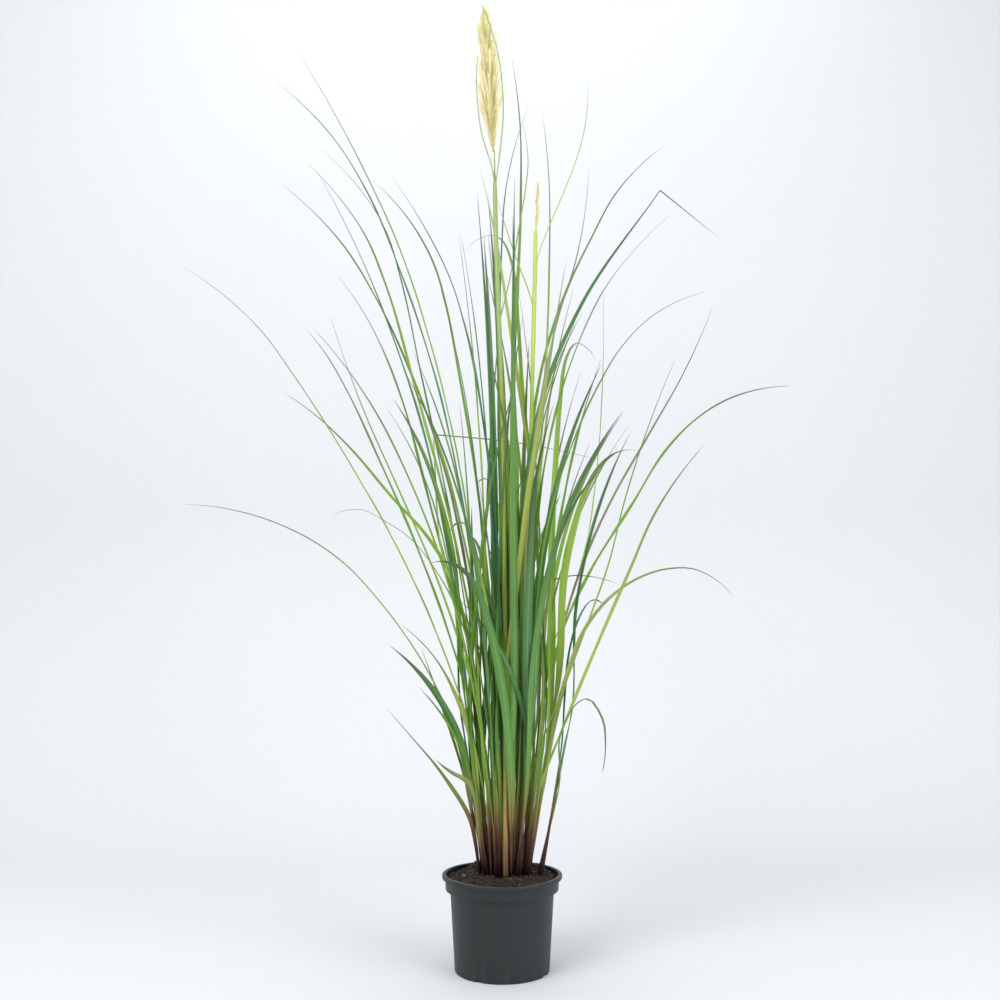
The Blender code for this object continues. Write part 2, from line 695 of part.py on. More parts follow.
class Neighbours:
    """Skins of everything laid so far, by shoot."""

    def __init__(self):
        self.skins = {}

    def add(self, shoot, skin):
        self.skins.setdefault(shoot, []).append(skin)

    def tree_without(self, shoot):
        corners, faces = [], []
        for other, skins in self.skins.items():
            if other == shoot:
                continue
            for skin_corners, skin_faces in skins:
                base = len(corners)
                corners += skin_corners
                faces += [tuple(base + i for i in face) for face in skin_faces]
        return BVHTree.FromPolygons(corners, faces)


def meets(skin, tree):
    return bool(BVHTree.FromPolygons(*skin).overlap(tree))


def clear_of_own(tiller, blade, number):
    """Whether leaf number keeps clear of its tiller's other leaves and of the stem above it."""
    for other in tiller.leaves[:number]:
        if meets(blade_skin(blade, CLEARANCE), BVHTree.FromPolygons(*blade_skin(other, 0, first=1))):
            return False
    if number == len(tiller.heights) - 1:
        return True
    stem = BVHTree.FromPolygons(*stem_skin(tiller, -CLEARANCE, number))
    return not meets(blade_skin(blade, -CLEARANCE), stem)


def stand_tiller(draw, neighbours, shoot, foot, out, lowest=None):
    """A tiller that stands clear of all that is laid, or nothing where there is no room for it."""
    tree = neighbours.tree_without(shoot)
    turn = math.atan2(out.y, out.x)
    for attempt in range(ATTEMPTS):
        play = FAN_PLAY * attempt
        lean = SLOPE_PLAY * (1 + attempt / 10)
        slope = (foot - CROWN_CENTRE) * SPREAD
        slope += Vector((draw.uniform(-lean, lean), draw.uniform(-lean, lean), 0))
        slope.z = 0
        fan = level_way(turn + draw.uniform(-play, play))
        tiller = Tiller(foot, slope, fan, heights=draw_heights(draw, lowest))
        if not meets(stem_skin(tiller, SHEATH_CLEARANCE), tree):
            neighbours.add(shoot, stem_skin(tiller, SHEATH_CLEARANCE))
            return tiller
    return None


def stand_side_tiller(neighbours, shoot):
    fan = Vector((1, -0.2, 0)).normalized()
    heights = [CROWN_LEVEL + height for height in SIDE_TILLER_LEAVES]
    tiller = Tiller(SIDE_TILLER + UP * (CROWN_LEVEL + GAP), SIDE_TILLER_SLOPE, fan, heights=heights)
    neighbours.add(shoot, stem_skin(tiller, SHEATH_CLEARANCE))
    return tiller


def lay_listed_leaf(draw, neighbours, shoot, tiller, leaf):
    """Lays a listed leaf, trying other depths and starts until it meets nothing."""
    tree = neighbours.tree_without(shoot)
    for attempt in range(3 * ATTEMPTS):
        play = 0.004 * attempt
        if attempt > ATTEMPTS // 3 and leaf is not CURLED_LEAF:
            tiller.heights = draw_heights(draw, leaf.outline[0][1])
        start, way, across = leaf_start(tiller, 0)
        points = seen_points(start, leaf, draw.uniform(-play, play))
        line = smooth_line(points, way, leaf.bend)
        blade = Blade(line, across, leaf.width, draw.uniform(-0.9, 0.9), draw.random())
        sheath = stem_skin(tiller, SHEATH_CLEARANCE)
        alone = not meets(blade_skin(blade, CLEARANCE), tree) and not meets(sheath, tree)
        if alone and clear_of_own(tiller, blade, 0):
            break
    tiller.leaves = [blade]
    neighbours.skins[shoot] = [sheath, blade_skin(blade, CLEARANCE)]


def free_leaf_points(draw, tiller, start, out, play):
    """Points of an unlisted leaf: a part of an ellipse, bent further over the further it reaches.

    With more play it may turn further aside and stay shorter.
    """
    aside = ASIDE + ASIDE_PLAY * play
    way = level_way(math.atan2(out.y, out.x) + draw.uniform(-aside, aside))
    reach = draw.uniform(*UPRIGHT_REACH)
    if way.dot(tiller.slope) > 0:
        edge = (tiller.foot.xy - CROWN_CENTRE.xy).length / CROWN_RADIUS
        reach += edge * (OUTWARD_REACH + FORWARD_REACH * abs(way.y)) * draw.random()
    reach = min(reach, SIDE_REACH / max(abs(way.x), 0.1))
    rise = draw.uniform(*RISES) * (1 - 0.9 * max(reach - ARCH_REACH, 0)) * (1 - SHORTENING * play)
    tip = start + way * reach
    growth = 1 + tip.y / EYE_DISTANCE
    tallest = TALLEST_FREE_TIP - TIP_FALL * max(abs(tip.x / growth - CROWN_CENTRE.x) - 0.04, 0)
    rise = min(rise, EYE_HEIGHT + (tallest - EYE_HEIGHT) * growth - start.z)
    bend = math.radians(draw.uniform(*(ARCH_BENDS if reach > ARCH_REACH else UPRIGHT_BENDS)))
    points = [start]
    for part in ARC_PARTS:
        out_share = (1 - math.cos(bend * part)) / (1 - math.cos(bend))
        up_share = math.sin(bend * part) / math.sin(min(bend, math.pi / 2))
        points.append(start + way * reach * out_share + UP * rise * up_share)
    return points


def try_free_leaves(draw, tiller, tree):
    """Lays the rest of a tiller's leaves. Returns whether all of them are clear of what is laid."""
    while len(tiller.leaves) < len(tiller.heights):
        number = len(tiller.leaves)
        start, way, across = leaf_start(tiller, number)
        out = tiller.fan if leaf_cells(len(tiller.heights))[number][1] else -tiller.fan
        for attempt in range(LEAF_ATTEMPTS):
            line = smooth_line(free_leaf_points(draw, tiller, start, out, attempt / LEAF_ATTEMPTS), way)
            blade = Blade(line, across, draw.uniform(*FREE_WIDTHS), draw.uniform(-1.4, 1.4), draw.random())
            if not meets(blade_skin(blade, CLEARANCE), tree) and clear_of_own(tiller, blade, number):
                tiller.leaves.append(blade)
                break
        else:
            return False
    return True


def lay_free_leaves(draw, neighbours, shoot, tiller):
    """Lays a tiller's unlisted leaves, from other heights or with one less until all are clear."""
    tree = neighbours.tree_without(shoot)
    listed = tiller.leaves[:]
    for attempt in range(ATTEMPTS):
        if attempt:
            drawn = draw_heights(draw)
            first = tiller.heights[0] if listed else drawn[0]
            tiller.leaves = listed[:]
            tiller.heights = [first + height - drawn[0] for height in drawn]
            del tiller.heights[LEAVES_PER_TILLER - attempt // FAN_ATTEMPTS:]
        if not meets(stem_skin(tiller, SHEATH_CLEARANCE), tree) and try_free_leaves(draw, tiller, tree):
            break
    neighbours.skins[shoot] = [stem_skin(tiller, SHEATH_CLEARANCE)]
    neighbours.skins[shoot] += [blade_skin(blade, CLEARANCE) for blade in tiller.leaves]


def plan_clump():
    """All the tillers and both flower stems, laid so that none of their solids meet."""
    draw = random.Random(SEED)
    places = crown_places()
    neighbours = Neighbours()
    for culm in (TALL_STEM, YOUNG_STEM):
        culm.foot = take_nearest(places, culm.foot).copy()
        plan_culm(culm, draw)
        for skin in culm_skins(culm):
            neighbours.add(culm.name, skin)
    tillers = [stand_side_tiller(neighbours, 0)]
    for leaf in SEEN_LEAVES:
        foot = take_nearest(places, wanted_foot(leaf))
        out = way_from_stem(leaf, foot)
        tillers.append(stand_tiller(draw, neighbours, len(tillers), foot, out, leaf.outline[0][1]))
    for shoot, leaf in enumerate((CURLED_LEAF, *SEEN_LEAVES)):
        lay_listed_leaf(draw, neighbours, shoot, tillers[shoot], leaf)
    for foot in places:
        tiller = stand_tiller(draw, neighbours, len(tillers), foot, foot - CROWN_CENTRE)
        if tiller:
            tillers.append(tiller)
    for shoot, tiller in enumerate(tillers):
        lay_free_leaves(draw, neighbours, shoot, tiller)
    return tillers


# Flower stems

def plan_culm(culm, draw):
    """Middle line of a flower stem, and its leaves, which start at its collars."""
    points = [culm.foot] + [seen_at(side, height, culm.foot.y) for side, height in culm.points]
    culm.line = smooth_line(points, points[1] - points[0])
    for leaf, height in zip(culm.leaves, culm.collar_heights):
        collar = stem_point(culm, height)
        first = seen_at(leaf.outline[0][0], leaf.outline[0][1], collar.y)
        toward = Vector((first.x - collar.x, (leaf.tip_depth - collar.y) * 0.4, 0)).normalized()
        side = round(math.atan2(toward.y, toward.x) / (math.tau / STEM_SIDES))
        turn = side * math.tau / STEM_SIDES
        out = Vector((math.cos(turn), math.sin(turn), 0))
        start = collar + out * stem_radius(culm, height) + UP * COLLAR_RISE / 2
        way = (UP + out * math.tan(CULM_LEAF_OPENING)).normalized()
        line = smooth_line(seen_points(start, leaf), way, leaf.bend)
        culm.blades.append(Blade(line, UP.cross(out), leaf.width, draw.uniform(-0.5, 0.5), draw.random()))
        culm.collars.append((height, side % STEM_SIDES))


def stem_point(culm, height):
    below = max(i for i, point in enumerate(culm.line[:-1]) if point.z <= height)
    a, b = culm.line[below], culm.line[below + 1]
    return a + (b - a) * ((height - a.z) / (b.z - a.z))


def stem_radius(culm, height):
    share = (height - culm.foot.z) / (culm.line[-1].z - culm.foot.z)
    return culm.radii[0] + (culm.radii[1] - culm.radii[0]) * share


def stem_ring(culm, height, swell=0.0):
    """Corners of a flower stem at this height. Its side faces look along whole steps of its turn."""
    middle = stem_point(culm, height)
    radius = stem_radius(culm, height) / math.cos(math.pi / STEM_SIDES) + swell
    turns = [(k - 0.5) * math.tau / STEM_SIDES for k in range(STEM_SIDES)]
    return [middle + Vector((radius * math.cos(t), radius * math.sin(t), 0)) for t in turns]


def stem_levels(culm):
    """Heights of a flower stem's rings, in pairs at its collars."""
    levels = {culm.foot.z, culm.line[-1].z}
    for height, _ in culm.collars:
        levels |= {height, height + COLLAR_RISE}
    for height in STEM_LEVELS:
        if height < culm.line[-1].z and all(abs(height - level) > 0.04 for level in levels):
            levels.add(height)
    return sorted(levels)


def culm_skins(culm):
    levels = stem_levels(culm)
    corners = [corner for height in levels for corner in stem_ring(culm, height, CLEARANCE)]
    faces = []
    for k in range(len(levels) - 1):
        for i in range(STEM_SIDES):
            a, b = STEM_SIDES * k + i, STEM_SIDES * k + (i + 1) % STEM_SIDES
            faces += [(a, b, b + STEM_SIDES), (a, b + STEM_SIDES, a + STEM_SIDES)]
    return [(corners, faces)] + [blade_skin(blade, CLEARANCE) for blade in culm.blades]


def make_culm(culm, finish):
    bm = bmesh.new()
    levels = stem_levels(culm)
    rings = [[bm.verts.new(corner) for corner in stem_ring(culm, height)] for height in levels]
    sockets = {}
    for (height, side), blade in zip(culm.collars, culm.blades):
        sockets[levels.index(height), side] = blade
    for k, (lower, upper) in enumerate(zip(rings, rings[1:])):
        for side in range(STEM_SIDES):
            after = (side + 1) % STEM_SIDES
            blade = sockets.get((k, side))
            if blade:
                fuse_blade(bm, (upper[side], lower[side], lower[after], upper[after]), blade)
            else:
                bm.faces.new((lower[side], lower[after], upper[after], upper[side]))
    bm.faces.new(rings[0])
    bm.faces.new(rings[-1])
    return add_object(culm.name, finished_mesh(bm, culm.name), finish)


# Plumes

@dataclass
class Locks:
    """Build of a plume: radius of its core, its greatest radius, how many levels of how many locks
    it has, and the length of a lock as a share of the plume's."""

    core: float
    radius: float
    levels: int
    sides: int
    share: float


TALL_LOCKS = Locks(0.0030, 0.030, 11, 6, 0.34)
YOUNG_LOCKS = Locks(0.0016, 0.0052, 6, 5, 0.3)


def plume_outline(share):
    """Half width of a plume at this share of its height, as a share of its greatest half width."""
    return max(math.sin(math.pi * share ** 0.85), 0) ** 0.7


def make_plume(name, foot, tip, locks, finish, draw):
    """A plume in one piece: a thin core whose every side face grows into a lock that leans upward."""
    axis = tip - foot
    way = axis.normalized()
    core, sides = locks.core, locks.sides
    bm = bmesh.new()

    def around(share, turn, reach):
        level = Vector((math.cos(turn), math.sin(turn), 0))
        return foot + axis * share + (level - way * level.dot(way)).normalized() * reach

    last_share = 1 - locks.share * 0.75
    rings = []
    for k in range(locks.levels + 1):
        share = last_share * k / locks.levels
        reach = core * (1 - 0.7 * share)
        turns = [(i + 0.25 * k) * math.tau / sides for i in range(sides)]
        rings.append([bm.verts.new(around(share, turn, reach)) for turn in turns])
    for k, (lower, upper) in enumerate(zip(rings, rings[1:])):
        for i in range(sides):
            after = (i + 1) % sides
            base = last_share * (k + 0.5) / locks.levels
            turn = (i + 0.5 + 0.25 * (k + 0.5)) * math.tau / sides
            end = base + locks.share * draw.uniform(0.85, 1.0) * (1 - 0.25 * base)
            tip_reach = locks.radius * plume_outline(min(end * 0.93, 0.97)) * draw.uniform(0.88, 1.0)
            bend = base + (end - base) * 0.5
            core_reach = core * (1 - 0.7 * base)
            bend_reach = core_reach + (tip_reach - core_reach) * 0.58
            middle = around(bend, turn, bend_reach)
            outward = (middle - (foot + axis * bend)).normalized()
            side_way = way.cross(outward)
            half = 0.30 * bend_reach * math.tan(math.pi / sides)
            thick = 0.085 * tip_reach
            ring = [bm.verts.new(middle + side_way * half * a + outward * thick * b)
                    for a, b in ((-1, 1), (1, 1), (1, -1), (-1, -1))]
            root = (lower[i], lower[after], upper[after], upper[i])
            bridge(bm, root, ring)
            point = bm.verts.new(around(end, turn, tip_reach))
            for a in range(4):
                bm.faces.new((ring[a], ring[(a + 1) % 4], point))
    bm.faces.new(rings[0])
    crest = bm.verts.new(tip)
    for i in range(sides):
        bm.faces.new((rings[-1][i], rings[-1][(i + 1) % sides], crest))
    return add_object(name, finished_mesh(bm, name), finish)


def build():
    for old in list(bpy.data.objects):
        bpy.data.objects.remove(old)
    make_pot()
    make_soil()
    tillers = plan_clump()
    leaf_green = material("leaf", "5f8a3c", 0.5)
    for number, tiller in enumerate(tillers, 1):
        make_tiller(f"shoot_{number:02d}", tiller, leaf_green)
    make_culm(TALL_STEM, material("tall_stem", "8fa860", 0.5))
    make_culm(YOUNG_STEM, material("young_stem", "b9c860", 0.5))
    draw = random.Random(SEED)
    cream = material("plume", "ece3b4", 0.85)
    tall_foot = TALL_STEM.line[-1] + UP * GAP
    make_plume("plume_tall", tall_foot, TALL_PLUME_TIP, TALL_LOCKS, cream, draw)
    young_foot = YOUNG_STEM.line[-1] + UP * GAP
    make_plume("plume_young", young_foot, young_foot + YOUNG_PLUME_REACH, YOUNG_LOCKS, cream, draw)


build()
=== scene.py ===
"""Looks of the potted pampas grass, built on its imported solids.

Metres, +Z up, the front faces -Y. Each leaf's smooth skin runs through the rings of its own solid.
"""
import math
import random

import bmesh
import bpy
import numpy as np
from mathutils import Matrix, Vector, noise


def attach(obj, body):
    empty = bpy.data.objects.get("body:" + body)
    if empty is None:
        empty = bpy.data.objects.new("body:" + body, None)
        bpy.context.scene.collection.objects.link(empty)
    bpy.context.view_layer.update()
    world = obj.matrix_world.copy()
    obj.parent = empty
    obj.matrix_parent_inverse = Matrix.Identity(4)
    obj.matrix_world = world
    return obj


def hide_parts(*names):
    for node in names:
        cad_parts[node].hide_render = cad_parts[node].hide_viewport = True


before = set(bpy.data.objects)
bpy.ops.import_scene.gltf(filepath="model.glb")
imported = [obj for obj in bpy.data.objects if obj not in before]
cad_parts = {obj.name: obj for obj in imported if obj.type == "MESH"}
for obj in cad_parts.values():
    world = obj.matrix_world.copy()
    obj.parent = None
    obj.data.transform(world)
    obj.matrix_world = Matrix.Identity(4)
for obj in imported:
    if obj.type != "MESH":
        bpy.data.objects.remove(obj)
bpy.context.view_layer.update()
SEED = 7
UP = Vector((0, 0, 1))
MERGE = 1e-6

# Pot
RIM_RADIUS = 0.1125
POT_HEIGHT = 0.173
LIP_HEIGHT = 0.0075
COLLAR_HEIGHT = 0.0205
COLLAR_TOP_RADIUS = 0.1067
COLLAR_FOOT_RADIUS = 0.1057
WALL_TOP_RADIUS = 0.0972
BASE_RADIUS = 0.088
WALL = 0.0015
FLOOR = 0.002
EDGE = 0.0012
POT_SIDES = 128
DRAIN_COUNT = 4
DRAIN_WIDTH = 0.015
DRAIN_HEIGHT = 0.004
DRAIN_DEPTH = 0.016
DRAIN_TURN = math.radians(-118)

# Potting mix
CROWN_LEVEL = 0.1712
SOIL_EDGE_LEVEL = 0.1635
SOIL_RADIUS = 0.1045
HEAPS = ((-0.050, 0.076), (0.074, 0.057))
HEAP_HEIGHT = 0.0125
HEAP_RADIUS = 0.019
CROWN_PLATE_RADIUS = 0.070
CRUMBS = 1500
CHIPS = 260

# Leaves
FAN_LENGTH = 0.0112
FAN_THICKNESS = 0.0056
SHEATH_STEP = 0.030             # between the rows of a sheath
BLADE_STEP = 0.020              # between the rows of a blade
COLLAR_BELOW = 0.028            # where a sheath starts to open into its blade, under the collar
COLLAR_ABOVE = 0.032
BLADE_THICKNESS = 0.00032
KEEL_DEPTH = 0.20
SHARP_TURN = math.radians(75)
STRAND_WIDTH = 0.0017           # least width of a leaf, up to near its tip
COLUMNS = 4                     # points from a blade's edge to its midrib
FLAG_LEVEL = 1.45               # the leaves over this height are rolled up
FLAG_SHARE = 0.5                # and so much narrower
PLUME_LEVELS = 24
SHOOT_TONES = (0.08, 0.25, 0.42, 0.55, 0.66, 0.76, 0.9)


def linear(hexcode):
    """A display colour such as 1f2a2c, as the linear colour that a shader takes."""
    parts = [int(hexcode[i:i + 2], 16) / 255 for i in (0, 2, 4)]
    return [p / 12.92 if p <= 0.04045 else ((p + 0.055) / 1.055) ** 2.4 for p in parts] + [1]


# Node materials

class Tree:
    """A short way to write a material's nodes."""

    def __init__(self, name):
        self.material = bpy.data.materials.new(name)
        self.material.use_nodes = True
        self.tree = self.material.node_tree
        self.tree.nodes.clear()

    def add(self, kind, inputs=None, **settings):
        made = self.tree.nodes.new(kind)
        for key, value in settings.items():
            setattr(made, key, value)
        for key, value in (inputs or {}).items():
            self.feed(made.inputs[key], value)
        return made

    def feed(self, socket, value):
        if isinstance(value, bpy.types.NodeSocket):
            self.tree.links.new(value, socket)
        else:
            socket.default_value = value

    def calc(self, operation, a, b=0.0, clamp=False):
        return self.add("ShaderNodeMath", {0: a, 1: b}, operation=operation, use_clamp=clamp).outputs[0]

    def mark(self, name):
        return self.add("ShaderNodeAttribute", attribute_name=name).outputs["Fac"]

    def place(self):
        return self.add("ShaderNodeTexCoord").outputs["Object"]

    def vector(self, x, y, z):
        return self.add("ShaderNodeCombineXYZ", {0: x, 1: y, 2: z}).outputs[0]

    def noise(self, place, scale, detail=2.0, roughness=0.5):
        inputs = {"Vector": place, "Scale": scale, "Detail": detail, "Roughness": roughness}
        return self.add("ShaderNodeTexNoise", inputs).outputs["Fac"]

    def scaled(self, place, x, y, z):
        return self.add("ShaderNodeVectorMath", {0: place, 1: (x, y, z)}, operation="MULTIPLY").outputs[0]

    def ramp(self, value, *stops):
        """A colour ramp of (position, display colour) stops."""
        made = self.add("ShaderNodeValToRGB", {0: value})
        elements = made.color_ramp.elements
        while len(elements) < len(stops):
            elements.new(1)
        for element, (position, colour) in zip(elements, stops):
            element.position = position
            element.color = linear(colour)
        return made.outputs[0]

    def step(self, value, low, high):
        """0 up to low, 1 from high."""
        inputs = {"Value": value, "From Min": low, "From Max": high, "To Min": 0.0, "To Max": 1.0}
        return self.add("ShaderNodeMapRange", inputs, interpolation_type="SMOOTHSTEP").outputs[0]

    def mix(self, factor, a, b, mode="MIX"):
        made = self.add("ShaderNodeMix", {0: factor, 6: a, 7: b}, data_type="RGBA", blend_type=mode)
        return made.outputs[2]

    def bump(self, height, distance, strength=1.0):
        return self.add("ShaderNodeBump", {"Height": height, "Distance": distance, "Strength": strength}).outputs[0]

    def finish(self, shader):
        output = self.add("ShaderNodeOutputMaterial")
        self.tree.links.new(shader, output.inputs[0])
        return self.material


def leafy(tree, colour, roughness, normal, see_through, glow=(1.0, 1.15, 0.55, 1)):
    """A thin green surface that also lets light through."""
    solid = tree.add("ShaderNodeBsdfPrincipled",
                     {"Base Color": colour, "Roughness": roughness, "Normal": normal, "Specular IOR Level": 0.35})
    lit = tree.mix(1.0, colour, glow, "MULTIPLY")
    behind = tree.add("ShaderNodeBsdfTranslucent", {"Color": lit, "Normal": normal})
    both = tree.add("ShaderNodeMixShader", {0: see_through, 1: solid.outputs[0], 2: behind.outputs[0]})
    return tree.finish(both.outputs[0])


def leaf_material():
    """Green blades on striped sheaths that turn purple-brown towards the soil."""
    tree = Tree("grass_leaf")
    along, across = tree.mark("along"), tree.mark("across")
    tone, rise = tree.mark("tone"), tree.mark("rise")
    own = tree.calc("MULTIPLY", tone, 57.0)
    wide = tree.vector(tree.calc("MULTIPLY", across, 1.4), tree.calc("MULTIPLY", rise, 3.0), own)
    fine = tree.vector(tree.calc("MULTIPLY", across, 9.0), tree.calc("MULTIPLY", rise, 2.0), own)
    cloud = tree.noise(wide, 1.6, 3.0)
    stripes = tree.noise(fine, 1.0, 2.0, 0.6)
    shade = tree.calc("ADD", tone, tree.calc("MULTIPLY", tree.calc("SUBTRACT", cloud, 0.5), 0.35), clamp=True)
    green = tree.ramp(shade, (0.0, "589274"), (0.2, "649e5a"), (0.4, "80b044"), (0.6, "9cc446"), (0.8, "b9d55e"),
                      (0.9, "c2c380"), (1.0, "b09f84"))
    midrib = tree.step(tree.calc("ABSOLUTE", across), 0.16, 0.04)
    green = tree.mix(tree.calc("MULTIPLY", midrib, 0.45), green, linear("bfd38c"))
    # dark and pale stripes along the blades: partly real veins, partly painted shade and painted light standing in for
    # the darker and lighter halves of the folded blades
    vein_and_painted_shade = tree.step(stripes, 0.35, 0.7)
    green = tree.mix(tree.calc("MULTIPLY", vein_and_painted_shade, 0.25), green, linear("3c6a2c"))
    pale = tree.step(stripes, 0.50, 0.30)
    green = tree.mix(tree.calc("MULTIPLY", pale, 0.30), green, linear("b4c878"))
    faded = tree.calc("ADD", along, tree.calc("MULTIPLY", tree.calc("SUBTRACT", cloud, 0.5), 0.3))
    green = tree.mix(tree.calc("MULTIPLY", tree.step(faded, 0.50, 0.98), 0.8), green, linear("5c6d5a"))
    green = tree.mix(tree.calc("MULTIPLY", tree.step(along, 0.93, 1.0), 0.7), green, linear("5d4c4c"))

    height = tree.calc("ADD", rise, tree.calc("MULTIPLY", tree.calc("SUBTRACT", cloud, 0.5), 0.09))
    height = tree.calc("ADD", height, tree.calc("MULTIPLY", tree.calc("SUBTRACT", tone, 0.5), 0.08))
    sheath = tree.ramp(tree.calc("MULTIPLY", height, 4.0), (0.0, "30161a"), (0.12, "47242a"), (0.24, "6a4238"),
                       (0.36, "8f774c"), (0.52, "8f9a4a"), (0.8, "82a03e"))
    streak = tree.step(stripes, 0.52, 0.64)
    sheath = tree.mix(tree.calc("MULTIPLY", streak, 0.55), sheath, linear("b79a6a"))
    dark = tree.step(stripes, 0.44, 0.34)
    sheath = tree.mix(tree.calc("MULTIPLY", dark, 0.5), sheath, linear("3b2023"))
    colour = tree.mix(tree.step(height, 0.10, 0.22), sheath, green)

    spots = tree.noise(tree.scaled(tree.place(), 1, 1, 0.4), 420.0, 1.0)
    colour = tree.mix(tree.calc("MULTIPLY", tree.step(spots, 0.70, 0.76), 0.5), colour, linear("4a3a22"))
    relief = tree.calc("ADD", stripes, tree.calc("MULTIPLY", midrib, 1.5))
    return leafy(tree, colour, 0.46, tree.bump(relief, 0.00025, 0.8), 0.38)


def stem_material(name, low, high, stripe):
    """A smooth cane, striped along its length."""
    tree = Tree(name)
    along, across, tone = tree.mark("along"), tree.mark("across"), tree.mark("tone")
    rise = tree.mark("rise")
    fine = tree.vector(tree.calc("MULTIPLY", across, 7.0), tree.calc("MULTIPLY", rise, 1.6), tone)
    stripes = tree.noise(fine, 1.6, 3.0, 0.6)
    colour = tree.ramp(rise, (0.0, "4a2226"), (0.05, "7d5238"), (0.11, "a88d4a"), (0.24, low), (0.9, low), (1.0, high))
    colour = tree.mix(tree.calc("MULTIPLY", tree.step(stripes, 0.45, 0.7), 0.5), colour, linear(stripe))
    colour = tree.mix(tree.calc("MULTIPLY", tree.step(along, 0.35, 1.0), 0.75), colour, linear("7d8c72"))
    return leafy(tree, colour, 0.38, tree.bump(stripes, 0.0002, 0.6), 0.15)


def plume_material(name, core, fringe):
    tree = Tree(name)
    along, tone, depth = tree.mark("along"), tree.mark("tone"), tree.mark("across")
    colour = tree.mix(depth, linear(core), linear(fringe))
    colour = tree.mix(tree.calc("MULTIPLY", tone, 0.5), colour, linear("fdfae8"))
    dusk = tree.noise(tree.scaled(tree.place(), 1, 1, 0.35), 90.0, 2.0)
    rough = tree.calc("ADD", 0.5, tree.calc("MULTIPLY", dusk, 0.3))
    colour = tree.mix(tree.calc("MULTIPLY", tree.step(dusk, 0.50, 0.7), 0.35), colour, linear("ddd48c"))
    colour = tree.mix(tree.calc("MULTIPLY", tree.step(along, 0.5, 1.0), 0.35), colour, linear("fffdf4"))
    shine = tree.add("ShaderNodeBsdfPrincipled", {"Base Color": colour, "Roughness": rough})
    behind = tree.add("ShaderNodeBsdfTranslucent", {"Color": colour})
    both = tree.add("ShaderNodeMixShader", {0: 0.55, 1: shine.outputs[0], 2: behind.outputs[0]})
    return tree.finish(both.outputs[0])


def pot_material():
    """Black moulded plastic with a greenish cast, scuffs and dry dust at its foot."""
    tree = Tree("moulded_plastic")
    place = tree.place()
    height = tree.add("ShaderNodeSeparateXYZ", {0: place}).outputs[2]
    cloud = tree.noise(place, 9.0, 3.0)
    grain = tree.noise(place, 900.0, 2.0)
    scuffs = tree.noise(tree.scaled(place, 60, 60, 420), 1.0, 4.0, 0.65)
    drips = tree.noise(tree.scaled(place, 90, 90, 7), 1.0, 2.0)
    colour = tree.mix(cloud, linear("0c1214"), linear("182021"))
    colour = tree.mix(tree.calc("MULTIPLY", tree.step(scuffs, 0.62, 0.80), 0.22), colour, linear("424c4b"))
    foot = tree.step(height, 0.05, 0.0)
    dust = tree.calc("MULTIPLY", tree.calc("ADD", foot, 0.25), tree.step(drips, 0.46, 0.72))
    colour = tree.mix(tree.calc("MULTIPLY", dust, 0.14), colour, linear("5b5a50"))
    rough = tree.calc("ADD", 0.40, tree.calc("MULTIPLY", cloud, 0.12))
    rough = tree.calc("ADD", rough, tree.calc("MULTIPLY", dust, 0.25))
    relief = tree.calc("ADD", grain, tree.calc("MULTIPLY", cloud, 6.0))
    shader = tree.add("ShaderNodeBsdfPrincipled", {
        "Base Color": colour, "Roughness": rough, "Normal": tree.bump(relief, 0.0001, 0.5), "IOR": 1.49})
    return tree.finish(shader.outputs[0])


def soil_material():
    tree = Tree("bark_compost")
    tone = tree.mark("tone")
    place = tree.place()
    grain = tree.noise(place, 700.0, 4.0, 0.7)
    colour = tree.ramp(tone, (0.0, "17100d"), (0.45, "2b1d16"), (0.75, "41291d"), (0.9, "5e3d29"), (0.96, "94714a"),
                       (1.0, "c9b79a"))
    colour = tree.mix(tree.step(grain, 0.42, 0.62), colour, linear("140d0b"))
    shader = tree.add("ShaderNodeBsdfPrincipled", {
        "Base Color": colour, "Roughness": 0.82, "Normal": tree.bump(grain, 0.0006, 0.9)})
    return tree.finish(shader.outputs[0])


def plain_material(name, colour, roughness):
    tree = Tree(name)
    soft = tree.noise(tree.place(), 1.2, 1.0)
    shade = tree.mix(soft, linear(colour), [part * 0.97 for part in linear(colour)[:3]] + [1])
    shader = tree.add("ShaderNodeBsdfPrincipled", {"Base Color": shade, "Roughness": roughness})
    return tree.finish(shader.outputs[0])


# Pieces

